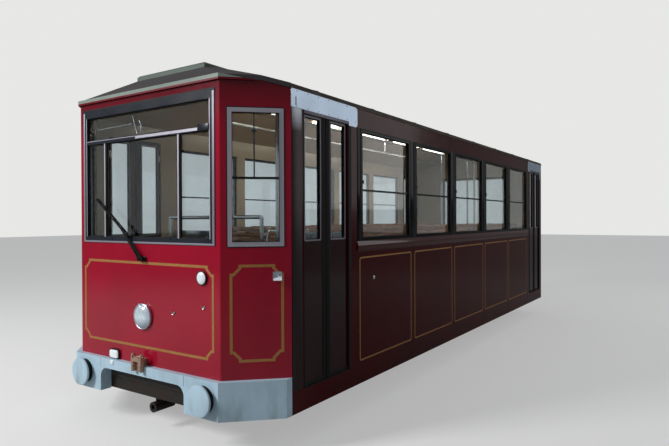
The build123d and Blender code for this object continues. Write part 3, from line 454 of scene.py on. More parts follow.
nodeFinish = {
    "cabPaint": "cab_shell", "sidePaint": "side_wall_left side_wall_right doorway_frames", "rearPaint": "rear_wall",
    "bandPaint": "waist_mouldings", "framePaint": "windscreen_frame", "windowAluminium": "cab_side_frames",
    "leafPaint": " ".join(name for name in nodes if name.startswith(("door_front", "door_rear"))),
    "pillarPaint": "side_window_frames rear_window_frame", "headerAluminium": "door_headers",
    "windowGlass": " ".join(name for name in nodes if "glass" in name), "cabRoofPaint": "cab_roof",
    "roofPaint": "saloon_roof roof_gutters", "deckPaint": "roof_deck", "fasciaPaint": "roof_fascia",
    "bumperPaint": "bumper buffers", "chrome": "headlamp", "lensGlass": "marker_lamps", "towSteel": "tow_lug",
    "wiperBlack": "windscreen_wiper", "floorRubber": "floor_and_steps",
    "wheelSteel": " ".join(name for name in nodes if name.endswith("wheelset")),
    "runningGear": "underframe equipment_box rear_drawbar rope_socket front_bogie_frame rear_bogie_frame "
    "front_rail_brake rear_rail_brake",
    "benchWood": "bench_seats", "deskPlastic": "driver_desk", "seatLeather": "driver_seat",
    "poleSteel": "grab_poles driver_screen",
}
for finish, members in nodeFinish.items():
    for member in members.split():
        node = nodes[member]
        if not node.data.materials:
            node.data.materials.append(None)
        for nodeSlot in node.material_slots:
            nodeSlot.link = "OBJECT"
            nodeSlot.material = finishes[finish]
print("materials ready:", len(finishes))


# Places on the car's faces: along, up and out of the face
def onFront(a, b, d):
    return Vector((car["frontX"] + d, a, b))


def onRear(a, b, d):
    return Vector((car["rearX"] - d, a, b))


def onSide(side):
    return lambda a, b, d: Vector((a, side * (car["halfWidth"] + d), b))


def onCorner(side):
    start = Vector((car["frontX"], car["noseHalf"], 0))

    def place(a, b, d):
        point = start + cornerRun * a + cornerOut * d
        return Vector((point.x, side * point.y, b))

    return place


def flat(a, b, d):
    return Vector((a, b, d))


def crosswise(a, b, d):
    return Vector((a, d, b))


# Mesh builders
def joinRings(mesh, one, two):
    count = max(len(one), len(two))
    for k in range(count if count > 1 else 0):
        j = (k + 1) % count
        corners = (one[k % len(one)], one[j % len(one)], two[j % len(two)], two[k % len(two)])
        mesh.faces.new(list(dict.fromkeys(corners)))


def slab(mesh, outline, place, low, high):
    bottom, top = ([mesh.verts.new(place(a, b, d)) for a, b in outline] for d in (low, high))
    mesh.faces.new(bottom)
    mesh.faces.new(top)
    joinRings(mesh, bottom, top)


def shrink(outline, distance):
    result = []
    count = len(outline)
    pairs = list(zip(outline, outline[1:] + outline[:1]))
    turn = 1 if sum(one[0] * two[1] - two[0] * one[1] for one, two in pairs) > 0 else -1
    for i in range(count):
        before, here, after = (Vector(outline[(i + k) % count]) for k in (-1, 0, 1))
        first, second = (here - before).normalized(), (after - here).normalized()
        normals = Vector((-first.y, first.x)), Vector((-second.y, second.x))
        middle = (normals[0] + normals[1]).normalized()
        result.append(tuple(here + middle * (turn * distance / max(middle.dot(normals[0]), 0.3))))
    return result


def band(mesh, outline, width, place, low, high):
    inner = shrink(outline, width)
    rows = [
        [mesh.verts.new(place(a, b, d)) for a, b in ring]
        for ring, d in ((outline, low), (outline, high), (inner, high), (inner, low))
    ]
    for one, two in zip(rows, rows[1:] + rows[:1]):
        joinRings(mesh, one, two)


def grown(by, a0, a1, b0, b1):
    return a0 - by, a1 + by, b0 - by, b1 + by


def rectangle(a0, a1, b0, b1):
    return [(a0, b0), (a1, b0), (a1, b1), (a0, b1)]


def cutRectangle(a0, a1, b0, b1, cut, jog=0.025):
    outline = []
    for a, b, da, db in ((a0, b0, 1, 1), (a1, b0, -1, 1), (a1, b1, -1, -1), (a0, b1, 1, -1)):
        ends = [(a, b + db * cut), (a + da * jog, b + db * cut), (a + da * cut, b + db * jog), (a + da * cut, b)]
        outline += ends if da * db > 0 else ends[::-1]
    return outline


def roundRectangle(a0, a1, b0, b1, radius, steps=6):
    outline = []
    a0, a1, b0, b1 = grown(-radius, a0, a1, b0, b1)
    for a, b, start in ((a1, b0, -90), (a1, b1, 0), (a0, b1, 90), (a0, b0, 180)):
        for k in range(steps + 1):
            angle = math.radians(start + 90 * k / steps)
            outline.append((a + radius * math.cos(angle), b + radius * math.sin(angle)))
    return outline


def brick(mesh, x0, x1, y0, y1, z0, z1):
    slab(mesh, rectangle(x0, x1, y0, y1), flat, z0, z1)


def ringOf(mesh, middle, first, second, radius, steps):
    turns = (2 * math.pi * k / steps for k in range(steps))
    return [mesh.verts.new(middle + (first * math.cos(t) + second * math.sin(t)) * radius) for t in turns]


def turned(mesh, profile, start, axis, steps=48):
    axis, start = Vector(axis).normalized(), Vector(start)
    first = axis.orthogonal().normalized()
    second = axis.cross(first)
    rings = [
        ringOf(mesh, start + axis * along, first, second, radius, steps if radius > 1e-6 else 1)
        for radius, along in profile
    ]
    for one, two in zip(rings, rings[1:]):
        joinRings(mesh, one, two)


def turnedFront(mesh, profile, y, z, steps=48):
    turned(mesh, profile, onFront(y, z, 0), (1, 0, 0), steps)


def scaled(profile, radius):
    return [(share * radius, along) for share, along in profile]


def pipe(mesh, points, radius, steps=12):
    points = [Vector(p) for p in points]
    rings = []
    across = None
    for i, point in enumerate(points):
        ahead = (points[min(i + 1, len(points) - 1)] - points[max(i - 1, 0)]).normalized()
        across = ahead.orthogonal() if across is None else across - ahead * across.dot(ahead)
        across = across.normalized()
        rings.append(ringOf(mesh, point, across, ahead.cross(across), radius, steps))
    for one, two in zip(rings, rings[1:]):
        joinRings(mesh, one, two)
    mesh.faces.new(rings[0])
    mesh.faces.new(rings[-1])


def bend(points, radius, steps=5):
    points = [Vector(p) for p in points]
    path = [points[0]]
    for before, here, after in zip(points, points[1:], points[2:]):
        reach = min(radius, (here - before).length * 0.45, (after - here).length * 0.45)
        start, end = (here + (other - here).normalized() * reach for other in (before, after))
        path += [start.lerp(here, t / steps).lerp(here.lerp(end, t / steps), t / steps) for t in range(steps + 1)]
    return path + [points[-1]]


def mirrored(mesh):
    copy = bmesh.ops.duplicate(mesh, geom=mesh.verts[:] + mesh.edges[:] + mesh.faces[:])
    for vert in (v for v in copy["geom"] if isinstance(v, bmesh.types.BMVert)):
        vert.co.y = -vert.co.y


def dome(mesh, point, axis, radius, height, steps=16):
    shape = [(0, -0.0005), (1, -0.0005), (1, height * 0.35), (0.75, height * 0.85), (0, height)]
    turned(mesh, scaled(shape, radius), point, axis, steps)


def hexBolt(mesh, point, axis, radius):
    washer = [(0, -0.0005), (1.45, -0.0005), (1.45, radius * 0.22), (0, radius * 0.22)]
    head = [(0, 0), (1, 0), (1, radius * 0.7), (0.8, radius * 0.85), (0, radius * 0.85)]
    turned(mesh, scaled(washer, radius), point, axis, 24)
    turned(mesh, scaled(head, radius), Vector(point) + Vector(axis) * radius * 0.2, axis, 6)


def makeObject(name, mesh, finish, softEdge):
    bmesh.ops.remove_doubles(mesh, verts=mesh.verts, dist=1e-6)
    bmesh.ops.recalc_face_normals(mesh, faces=mesh.faces)
    if softEdge:
        sharp = [e for e in mesh.edges if len(e.link_faces) == 2 and e.calc_face_angle(0) > math.radians(40)]
        bmesh.ops.bevel(
            mesh, geom=sharp, offset=softEdge, segments=2, profile=0.5, affect="EDGES", clamp_overlap=True)
    for face in mesh.faces:
        face.smooth = True
    for edge in mesh.edges:
        edge.smooth = len(edge.link_faces) == 2 and edge.calc_face_angle(0) < math.radians(35)
    data = bpy.data.meshes.new(name)
    mesh.to_mesh(data)
    mesh.free()
    data.materials.append(finishes[finish])
    piece = bpy.data.objects.new(name, data)
    scene.collection.objects.link(piece)
    return piece


def rideAlong(piece, body):
    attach(piece, body)
    return piece


def finishPiece(name, mesh, finish, softEdge=0.0, body="car"):
    return rideAlong(makeObject(name, mesh, finish, softEdge), body)


def evaluatedMesh(piece):
    bpy.context.view_layer.update()
    return bpy.data.meshes.new_from_object(piece.evaluated_get(bpy.context.evaluated_depsgraph_get()))


# Rows of like pieces, as a node tree: instances of the piece's own mesh along a step
def rowTree(finish):
    tree = bpy.data.node_groups.new("rowOf" + finish, "GeometryNodeTree")
    for name, kind in (("Geometry", "Geometry"), ("Count", "Int"), ("Step", "Vector")):
        tree.interface.new_socket(name, in_out="INPUT", socket_type="NodeSocket" + kind)
    tree.interface.new_socket("Geometry", in_out="OUTPUT", socket_type="NodeSocketGeometry")
    given, result = tree.nodes.new("NodeGroupInput"), tree.nodes.new("NodeGroupOutput")
    line, place, solid, paint = (
        tree.nodes.new("GeometryNode" + kind)
        for kind in ("MeshLine", "InstanceOnPoints", "RealizeInstances", "SetMaterial")
    )
    line.mode = "OFFSET"
    paint.inputs["Material"].default_value = finishes[finish]
    for source, output, target, entry in (
        (given, "Count", line, "Count"), (given, "Step", line, "Offset"), (line, "Mesh", place, "Points"),
        (given, "Geometry", place, "Instance"), (place, "Instances", solid, "Geometry"),
        (solid, "Geometry", paint, "Geometry"), (paint, "Geometry", result, "Geometry"),
    ):
        tree.links.new(source.outputs[output], target.inputs[entry])
    return tree


rowTrees = {}


def repeatRow(name, mesh, finish, rows, softEdge=0.0):
    piece = makeObject(name, mesh, finish, softEdge)
    if finish not in rowTrees:
        rowTrees[finish] = rowTree(finish)
    tree = rowTrees[finish]
    sockets = {item.name: item.identifier for item in tree.interface.items_tree if item.in_out == "INPUT"}
    for count, step in rows:
        row = piece.modifiers.new("row", "NODES")
        row.node_group = tree
        row[sockets["Count"]] = count
        row[sockets["Step"]] = step
    data = evaluatedMesh(piece)
    piece.modifiers.clear()
    piece.data = data
    return rideAlong(piece, "car")


# Gold lining on the faces
lining = {
    "width": 0.022, "bayWidth": 0.0154, "proud": 0.0009, "front": (-0.885, 0.870, 0.745, 1.508, 0.068),
    "rear": (-1.22, 1.22, 0.753, 1.497, 0.068), "corner": (0.073, 0.503, 0.740, 1.519, 0.070),
    "bayMargin": 0.041, "bay": (0.506, 1.511, 0.030),
}


def makeLining():
    mesh, width, proud, margin = bmesh.new(), lining["width"], lining["proud"], lining["bayMargin"]
    band(mesh, cutRectangle(*lining["front"]), width, onFront, 0, proud)
    band(mesh, cutRectangle(*lining["rear"]), width, onRear, 0, proud)
    for side in (1, -1):
        band(mesh, cutRectangle(*lining["corner"]), width, onCorner(side), 0, proud)
        for bay in range(car["bays"]):
            start = car["saloonRearX"] + bay * bayPitch + margin
            outline = roundRectangle(start, start + bayPitch - 2 * margin, *lining["bay"])
            band(mesh, outline, lining["bayWidth"], onSide(side), 0, proud)
    finishPiece("goldLining", mesh, "goldLining")


# Windscreen: beads, rubbers, capped bars and the small fittings behind the glass
windscreen = {
    "side": 0.048, "top": 0.075, "transomDrop": 0.310, "transomHalf": 0.017, "mullions": (-0.564, 0.452),
    "mullionHalf": 0.010, "bead": 0.005, "outerStrip": 0.007, "strip": (0.862, 0.886), "cap": (-0.10, 0.70),
    "endBox": (0.705, 0.829, 2.596, 2.652), "endScrews": (0.725, 0.809), "inside": -0.050,
    "rod": ((-0.715, 2.739), (-0.211, 2.750)),
    "stays": (
        ((-0.210, 2.848), (-0.183, 2.776), (-0.157, 2.694), (-0.121, 2.634)),
        ((-0.102, 2.768), (-0.076, 2.720), (-0.085, 2.665)),
    ),
}


def makeWindscreen():
    spec = windscreen
    half, bottom, top = highOf("windscreen_frame").y, lowOf("windscreen_frame").z, highOf("windscreen_frame").z
    glassHalf, low, high = half - spec["side"], bottom + spec["side"], top - spec["top"]
    transom = top - spec["transomDrop"]
    under, (capFrom, capTo) = transom - spec["transomHalf"], spec["cap"]
    mesh = bmesh.new()
    for s in (1, -1):
        outline = rectangle(s * spec["strip"][0], s * spec["strip"][1], bottom + 0.010, top - 0.020)
        slab(mesh, outline, onFront, 0.001, 0.0065)
    slab(mesh, rectangle(-half, half, bottom - 0.004, bottom + 0.012), onFront, 0.001, 0.0062)
    finishPiece("windscreenStrips", mesh, "dullAluminium", 0.001)
    mesh = bmesh.new()
    slab(mesh, rectangle(capFrom, capTo, transom - 0.012, transom + 0.012), onFront, 0.0015, 0.0065)
    slab(mesh, rectangle(-glassHalf, capFrom, transom + 0.009, transom + 0.014), onFront, 0.0015, 0.0045)
    for y in spec["mullions"]:
        slab(mesh, rectangle(y - 0.008, y + 0.008, low, under), onFront, -0.0065, -0.0035)
    for s in (1, -1):
        outline = rectangle(s * (glassHalf + 0.002), s * (glassHalf - spec["bead"]), low, high)
        slab(mesh, outline, onFront, 0.0035, 0.0065)
    finishPiece("windscreenBeads", mesh, "windowAluminium")
    mesh, out = bmesh.new(), spec["outerStrip"]
    band(mesh, roundRectangle(*grown(out, -half, half, bottom, top), 0.012, 3), out, onFront, 0, 0.004)
    edges = [-glassHalf]
    for y in spec["mullions"]:
        edges += [y - spec["mullionHalf"], y + spec["mullionHalf"]]
    edges.append(glassHalf)
    panes = [(left, right, low, under) for left, right in zip(edges[::2], edges[1::2])]
    for pane in panes + [(-glassHalf, glassHalf, transom + spec["transomHalf"], high)]:
        band(mesh, rectangle(*pane), 0.009, onFront, -0.0295, -0.012)
    finishPiece("windscreenRubbers", mesh, "blackRubber")
    mesh = bmesh.new()
    slab(mesh, roundRectangle(*spec["endBox"], 0.008, 3), onFront, 0.002, 0.016)
    for y in spec["endScrews"]:
        turnedFront(mesh, [(0, 0.015), (0.005, 0.015), (0.005, 0.018), (0, 0.0185)], y, transom + 0.01, 12)
    finishPiece("windscreenEndBox", mesh, "framePaint", 0.0015)
    mesh, inside = bmesh.new(), spec["inside"]
    pipe(mesh, [onFront(*end, inside) for end in spec["rod"]], 0.008)
    for end in spec["rod"]:
        turned(mesh, [(0, -0.012), (0.013, -0.012), (0.013, 0.012), (0, 0.012)], onFront(*end, inside), (0, 1, 0), 20)
    for stay in spec["stays"]:
        pipe(mesh, bend([onFront(*point, inside) for point in stay], 0.03), 0.0065)
    finishPiece("windscreenBracket", mesh, "poleSteel")


# Wiper: a rubber blade along the arm's far part, nuts and pivot caps
wiper = {
    "blade": ((-0.168, 1.730), (-0.632, 2.073)), "bladeHalf": 0.0035, "clawHalf": 0.0119, "clawReach": 0.013,
    "nuts": ((-0.389, 1.893), (-0.287, 1.818), (-0.200, 1.753)), "pivots": ((0.018, 1.534), (-0.026, 1.534)),
}


def makeWiper():
    mesh = bmesh.new()
    start, end = (Vector(point) for point in wiper["blade"])
    run = (end - start).normalized()
    across = Vector((-run.y, run.x))
    bars = [(start, end, across * wiper["bladeHalf"], 0.008, 0.024)]
    for k in range(5):
        middle, reach = start.lerp(end, 0.06 + 0.22 * k), run * wiper["clawReach"]
        bars.append((middle - reach, middle + reach, across * wiper["clawHalf"], 0.019, 0.038))
    for one, two, off, low, high in bars:
        slab(mesh, [tuple(one - off), tuple(two - off), tuple(two + off), tuple(one + off)], onFront, low, high)
    for y, z in wiper["pivots"]:
        turnedFront(mesh, [(0.021, 0.0), (0.026, 0.002), (0.026, 0.010), (0.0205, 0.014), (0.0205, 0.0)], y, z, 32)
        turnedFront(mesh, [(0, 0.039), (0.012, 0.039), (0.012, 0.0425), (0.006, 0.044), (0, 0.044)], y, z, 6)
    finishPiece("wiperBlade", mesh, "wiperBlack", 0.001)
    mesh = bmesh.new()
    for y, z in wiper["nuts"]:
        turnedFront(mesh, [(0, 0.034), (0.011, 0.034), (0.011, 0.041), (0.006, 0.043), (0, 0.044)], y, z, 6)
    finishPiece("wiperNuts", mesh, "chrome")


# Lamps: chrome headlamp, round white upper lamp, square lamps and red tail lamps; profiles in shares of the radius
lamps = {
    "head": (0.0, 1.028), "headRadius": 0.115, "upper": (0.740, 1.406), "upperRadius": 0.058,
    "tail": (1.050, 1.190), "tailRadius": 0.062, "low": (-0.4725, -0.3375, 0.602, 0.692),
    "lug": (-0.412, -0.372, 0.562, 0.599), "sideMargin": 0.114, "sideZ": 1.423, "sideHalf": 0.0375,
    "shell": [
        (0, 0), (0.93, 0), (0.985, 0.003), (1.0, 0.009), (1.0, 0.019), (0.985, 0.024), (0.955, 0.026),
        (0.925, 0.024), (0.90, 0.016), (0, 0.016),
    ],
    "lens": [
        (0, 0.048), (0.15, 0.0478), (0.3, 0.047), (0.45, 0.0455), (0.56, 0.0435), (0.65, 0.0405), (0.73, 0.0365),
        (0.79, 0.032), (0.84, 0.027), (0.875, 0.022), (0.89, 0.0185), (0.89, 0.0165), (0, 0.0165),
    ],
    "rim": [
        (0, 0), (0.94, 0), (1.0, 0.003), (1.0, 0.014), (0.97, 0.018), (0.91, 0.019), (0.87, 0.015),
        (0.87, 0.008), (0, 0.008),
    ],
    "whiteLens": [(0, 0.030), (0.25, 0.0295), (0.5, 0.027), (0.7, 0.0225), (0.87, 0.015), (0.86, 0.009), (0, 0.009)],
    "redLens": [(0, 0.030), (0.3, 0.029), (0.6, 0.025), (0.87, 0.016), (0.86, 0.009), (0, 0.009)],
    "sideBoss": [(0, 0.005), (0.011, 0.005), (0.009, 0.014), (0.004, 0.018), (0, 0.018)],
}


def makeHeadlamp():
    (y, z), radius = lamps["head"], lamps["headRadius"]
    mesh = bmesh.new()
    turnedFront(mesh, scaled(lamps["shell"], radius), y, z, 72)
    clip = ((-0.030, radius + 0.004, 0.014), (-0.026, radius - 0.004, 0.034), (0.010, radius - 0.034, 0.041))
    pipe(mesh, bend([onFront(y + a, z + b, d) for a, b, d in clip], 0.006), 0.0028, 10)
    shape = finishPiece("headlampShell", mesh, "lampChrome")
    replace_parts(shape, "headlamp")
    mesh = bmesh.new()
    turnedFront(mesh, scaled(lamps["lens"], radius), y, z, 64)
    finishPiece("headlampLens", mesh, "silverLens")


def makeLamps():
    spec = lamps
    makeHeadlamp()
    mesh = bmesh.new()
    turnedFront(mesh, scaled(spec["rim"], spec["upperRadius"]), *spec["upper"])
    band(mesh, roundRectangle(*spec["low"], 0.024, 5), 0.010, onFront, 0, 0.020)
    finishPiece("frontLampRims", mesh, "blackRubber")
    mesh, lenses = bmesh.new(), bmesh.new()
    for s in (1, -1):
        start = onRear(s * spec["tail"][0], spec["tail"][1], 0)
        turned(mesh, scaled(spec["rim"], spec["tailRadius"]), start, (-1, 0, 0))
        turned(lenses, scaled(spec["redLens"], spec["tailRadius"]), start, (-1, 0, 0))
    finishPiece("tailLampRims", mesh, "chrome")
    mesh = bmesh.new()
    for inset, low, high in ((0, 0, 0.026), (0.005, 0.026, 0.031), (0.012, 0.031, 0.034)):
        outline = roundRectangle(*grown(-0.009 - inset, *spec["low"]), 0.020 - inset * 0.5, 5)
        slab(mesh, outline, onFront, low, high)
    turnedFront(mesh, scaled(spec["whiteLens"], spec["upperRadius"]), *spec["upper"])
    white = finishPiece("whiteLenses", mesh, "milkLens")
    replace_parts(white, "marker_lamps")
    finishPiece("tailLenses", lenses, "redLens")
    mesh, base = bmesh.new(), bmesh.new()
    middle, height = cornerLength - spec["sideMargin"], spec["sideZ"]
    for s in (1, -1):
        place = onCorner(s)
        outline = roundRectangle(*grown(spec["sideHalf"], middle, middle, height, height), 0.007, 4)
        slab(base, outline, place, 0, 0.006)
        band(base, shrink(outline, 0.002), 0.004, place, 0.006, 0.0085)
        slab(mesh, shrink(outline, 0.0035), place, 0.0062, 0.024)
        turned(base, spec["sideBoss"], place(middle, height, 0), (cornerOut.x, s * cornerOut.y, 0), 20)
    finishPiece("sideLampLenses", mesh, "lensGlass", 0.002)
    finishPiece("sideLampBases", base, "chrome")
    # The lug uses the glowing lamp-lens finish, so this small white bracket glows faintly though it is no lamp: painted
    # glow.
    mesh = bmesh.new()
    slab(mesh, roundRectangle(*spec["lug"], 0.010, 4), onFront, 0.049, 0.060)
    finishPiece("lowLampLug", mesh, "milkLens", 0.003)


# Front fittings: door buttons, latches, the bumper's seams, ribbed buffer rubbers and discs, tow bolts
front = {
    "button": (2.517, 1.290), "latches": ((0.389, 1.087), (0.751, 1.164)), "seam": (0.5655, 0.512, 0.598),
    "bufferY": 0.803, "bufferZ": 0.445, "stem": 0.096, "stemFrom": 0.050, "stemTo": 0.096, "ribs": 4,
    "disc": [
        (0, 0.096), (0.122, 0.096), (0.128, 0.099), (0.128, 0.110), (0.124, 0.115), (0.112, 0.118), (0, 0.118),
    ],
    "discBolts": 0.030, "towY": (-0.051, 0.051), "towZ": (0.578, 0.604),
}


def ribbedStem():
    start, end, thin, thick = front["stemFrom"], front["stemTo"], front["stem"] + 0.005, front["stem"] + 0.014
    pitch = (end - start) / front["ribs"]
    profile = [(0, start)]
    for k in range(front["ribs"]):
        low = start + k * pitch
        profile += [(thick, low), (thick, low + pitch * 0.55), (thin, low + pitch * 0.7), (thin, low + pitch * 0.85)]
    return profile + [(thin, end), (0, end)]


def makeFrontFittings():
    spec = front
    mesh = bmesh.new()
    for s in (1, -1):
        dome(mesh, onSide(s)(*spec["button"], 0), (0, s, 0), 0.020, 0.008, 32)
    for y, z in spec["latches"]:
        slab(mesh, roundRectangle(y - 0.010, y + 0.010, z - 0.014, z + 0.012, 0.008, 4), onFront, 0, 0.004)
        handle = ((-0.020, 0.022, 0.006), (0.004, -0.012, 0.010), (0.026, 0.020, 0.006))
        pipe(mesh, bend([onFront(y + a, z + b, d) for a, b, d in handle], 0.01), 0.003, 8)
    finishPiece("bodyLatches", mesh, "chrome")
    mesh = bmesh.new()
    y, low, high = spec["seam"]
    for s in (1, -1):
        slab(mesh, rectangle(s * y - 0.0015, s * y + 0.0015, low, high), onFront, 0.050, 0.0504)
    finishPiece("bumperSeams", mesh, "runningGear")
    mesh, disc = bmesh.new(), bmesh.new()
    for s in (1, -1):
        start = onFront(s * spec["bufferY"], spec["bufferZ"], 0)
        turned(mesh, ribbedStem(), start, (1, 0, 0), 64)
        turned(disc, spec["disc"], start, (1, 0, 0), 72)
        for k in range(6):
            turn = math.radians(60 * k + 30)
            spot = Vector((0.1178, spec["discBolts"] * math.cos(turn), spec["discBolts"] * math.sin(turn)))
            dome(disc, start + spot, (1, 0, 0), 0.004, 0.0002, 12)
    finishPiece("bufferRubbers", mesh, "blackRubber")
    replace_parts(finishPiece("bufferDiscs", disc, "bumperPaint"), "buffers")
    mesh = bmesh.new()
    for y, z in itertools.product(spec["towY"], spec["towZ"]):
        hexBolt(mesh, onFront(y, z, 0.090), (1, 0, 0), 0.005)
    finishPiece("towBolts", mesh, "towSteel")


# Door headers, jambs, the rubbers round the doorways and the guard strips beside them
header = {
    "screws": (7, (0.15246, 0, 0)), "screwX": (2.866, -4.150), "screwDrops": (0.014, 0.138), "screw": 0.0055,
    "slot": (3.789, 3.799, 2.800, 2.880), "openings": (2.986, -4.082), "guards": (-0.043, 0.699), "guard": 0.043,
    "jambs": ((3.712, 3.843), (-4.172, -4.085)), "jambLow": 0.48, "jambTop": 2.786,
}


def makeHeaders():
    spec = header
    high = highOf("door_headers")
    proud = high.y - car["halfWidth"]
    screws, slots, rails, strips, rubbers = (bmesh.new() for k in range(5))
    for s in (1, -1):
        place = onSide(s)
        for x, drop in itertools.product(spec["screwX"], spec["screwDrops"]):
            dome(screws, place(x, high.z - drop, proud), (0, s, 0), spec["screw"], 0.0022, 12)
        slab(slots, roundRectangle(*spec["slot"], 0.004, 3), place, proud - 0.001, proud + 0.0006)
        for a0, a1 in spec["jambs"]:
            outline = roundRectangle(a0, a1, spec["jambLow"], spec["jambTop"], 0.006, 3)
            slab(strips, outline, place, 0, 0.004)
        for x, toGuard in zip(spec["openings"], spec["guards"]):
            slab(rails, rectangle(x + 0.006, x + 0.691, 2.762, 2.7875), place, -0.010, 0.0055)
            band(rubbers, rectangle(x - 0.002, x + 0.701, 0.470, 2.790), 0.006, place, -0.010, 0.002)
            guard = x + toGuard
            outline = roundRectangle(guard, guard + spec["guard"], spec["jambLow"], 2.788, 0.004, 3)
            slab(rubbers, outline, place, 0, 0.0035)
    repeatRow("headerScrews", screws, "poleSteel", [spec["screws"]])
    finishPiece("headerSlots", slots, "blackRubber")
    finishPiece("headerRails", rails, "dullAluminium", 0.001)
    finishPiece("jambStrips", strips, "jambAluminium", 0.001)
    finishPiece("doorwayRubbers", rubbers, "blackRubber")


# Door leaves: beads and rubbers round the glass, rubber edges, hinge rings
leaf = {
    "thick": 0.035, "bead": 0.013, "edge": 0.054, "ridges": (0.012, 0.026, 0.040), "gasket": 0.007,
    "ring": [(0.0135, -0.04), (0.0155, -0.04), (0.0155, 0.04), (0.0135, 0.04), (0.0135, -0.04)],
    "ringIn": 0.014, "ringHeights": (0.70, 1.60, 2.60),
}


def makeLeaf(end, sideName, which):
    s = 1 if sideName == "left" else -1
    node, body = f"door_{end}_{sideName}_{which}", f"{end}_{sideName}_{which}_leaf"
    glass = node.replace("door_", "door_glass_")
    name = f"{end}{sideName.title()}{which.title()}"
    low, high, glassLow, glassHigh = lowOf(node), highOf(node), lowOf(glass), highOf(glass)
    outer = max(abs(low.y), abs(high.y))
    inner = outer - leaf["thick"]
    outward = lambda a, b, d: Vector((a, s * (outer + d), b))
    inward = lambda a, b, d: Vector((a, s * (inner - d), b))
    opening = (glassLow.x, glassHigh.x, glassLow.z, glassHigh.z)
    ringShape = roundRectangle(*grown(0.010, *opening), 0.016, 4)
    mesh = bmesh.new()
    band(mesh, ringShape, leaf["bead"], outward, 0, 0.004)
    band(mesh, ringShape, leaf["bead"], inward, 0, 0.003)
    finishPiece(name + "Bead", mesh, "dullAluminium", 0.001, body)
    free, hinge, toward = (low.x, high.x, 1) if which == "fore" else (high.x, low.x, -1)
    strip = rectangle(free, free + toward * leaf["edge"], low.z + 0.004, high.z - 0.004)
    mesh = bmesh.new()
    for place in (outward, inward):
        band(mesh, rectangle(*opening), leaf["gasket"], place, -0.0135, -0.0005)
        slab(mesh, strip, place, 0, 0.003)
    for offset in leaf["ridges"]:
        ridge = free + toward * offset
        slab(mesh, rectangle(ridge - 0.002, ridge + 0.002, low.z + 0.006, high.z - 0.006), outward, 0.002, 0.0048)
    slab(mesh, rectangle(low.x + 0.004, high.x - 0.004, low.z - 0.004, low.z + 0.030), outward, -0.020, 0.002)
    finishPiece(name + "Rubber", mesh, "blackRubber", 0.0, body)
    mesh = bmesh.new()
    for z in leaf["ringHeights"]:
        turned(mesh, leaf["ring"], (hinge - toward * leaf["ringIn"], s * inner, z), (0, 0, 1), 24)
    finishPiece(name + "Hinge", mesh, "poleSteel", 0.0, body)


# Side windows: seals, gaskets, black pillar covers, latches and the wall's fine seams
windowSpec = {
    "ring": 0.025, "seal": 0.009, "sealWidth": 0.0081, "sealDrop": 0.0054, "gasket": 0.006, "cover": 0.0035,
    "latch": (0.020, 0.018), "latchZ": 2.238, "baySeamTop": 1.556, "wallSeamTop": 2.78,
}


def makeSideWindows():
    spec, pillar = windowSpec, car["pillar"]
    low, high = lowOf("side_window_frames").z, highOf("side_window_frames").z
    seal, coverLow, coverHigh, seamLow = spec["seal"], low - 0.004, high + spec["seal"], car["skirtZ"] + 0.01
    (latchLong, latchHalf), latchZ = spec["latch"], spec["latchZ"]
    firstX, lastX = car["saloonRearX"], car["saloonFrontX"]
    windows = [firstX + bay * bayPitch + pillar / 2 for bay in range(car["bays"])]
    width = bayPitch - pillar
    covers = [(a0 + width + seal, a0 + width + pillar - seal) for a0 in windows[:-1]]
    covers += [(windows[-1] + width + seal, lastX - 0.003), (firstX + 0.003, firstX + pillar / 2 - seal)]
    seams = [(a0 - pillar / 2 - 0.0015, a0 - pillar / 2 + 0.0015, seamLow, spec["baySeamTop"]) for a0 in windows[1:]]
    seams += [(x0, x0 + 0.003, seamLow, spec["wallSeamTop"]) for x0 in (lastX - 0.002, firstX - 0.001)]
    seams.append((car["rearX"] + 0.002, car["noseBackX"] - 0.002, car["skirtZ"] + 0.060, car["skirtZ"] + 0.0625))
    sealMesh, coverMesh, latchMesh, seamMesh = (bmesh.new() for k in range(4))
    for s in (1, -1):
        place = onSide(s)
        for a0 in windows:
            a1 = a0 + width
            outline = rectangle(a0 - seal, a1 + seal, low - spec["sealDrop"], coverHigh)
            band(sealMesh, outline, spec["sealWidth"], place, 0, 0.003)
            outline = rectangle(*grown(-spec["ring"], a0, a1, low, high))
            band(sealMesh, outline, spec["gasket"], place, -0.0298, -0.010)
            edge = a1 - spec["ring"] + 0.004
            outline = roundRectangle(edge - latchLong, edge, latchZ - latchHalf, latchZ + latchHalf, 0.004, 3)
            slab(latchMesh, outline, place, -0.010, 0.008)
        for x0, x1 in covers:
            slab(coverMesh, rectangle(x0, x1, coverLow, coverHigh), place, 0, spec["cover"])
        for seam in seams:
            slab(seamMesh, rectangle(*seam), place, 0, 0.0005)
    finishPiece("windowSeals", sealMesh, "blackRubber")
    finishPiece("pillarCovers", coverMesh, "pillarPaint", 0.001)
    finishPiece("windowLatches", latchMesh, "switchPlastic", 0.0015)
    finishPiece("sideSeams", seamMesh, "seamPaint")


# End windows: rubbers and beads of the angled windows with their bar and hanging rod, rubbers of the rear one
endWindow = {
    "margin": 0.0595, "frame": 0.033, "barDrop": 0.557, "rodAside": -0.010, "rodDepth": -0.075, "knobDrop": 0.170,
    "knob": [(0, -0.030), (0.022, 0), (0, 0.030)], "rearFrame": 0.040,
}


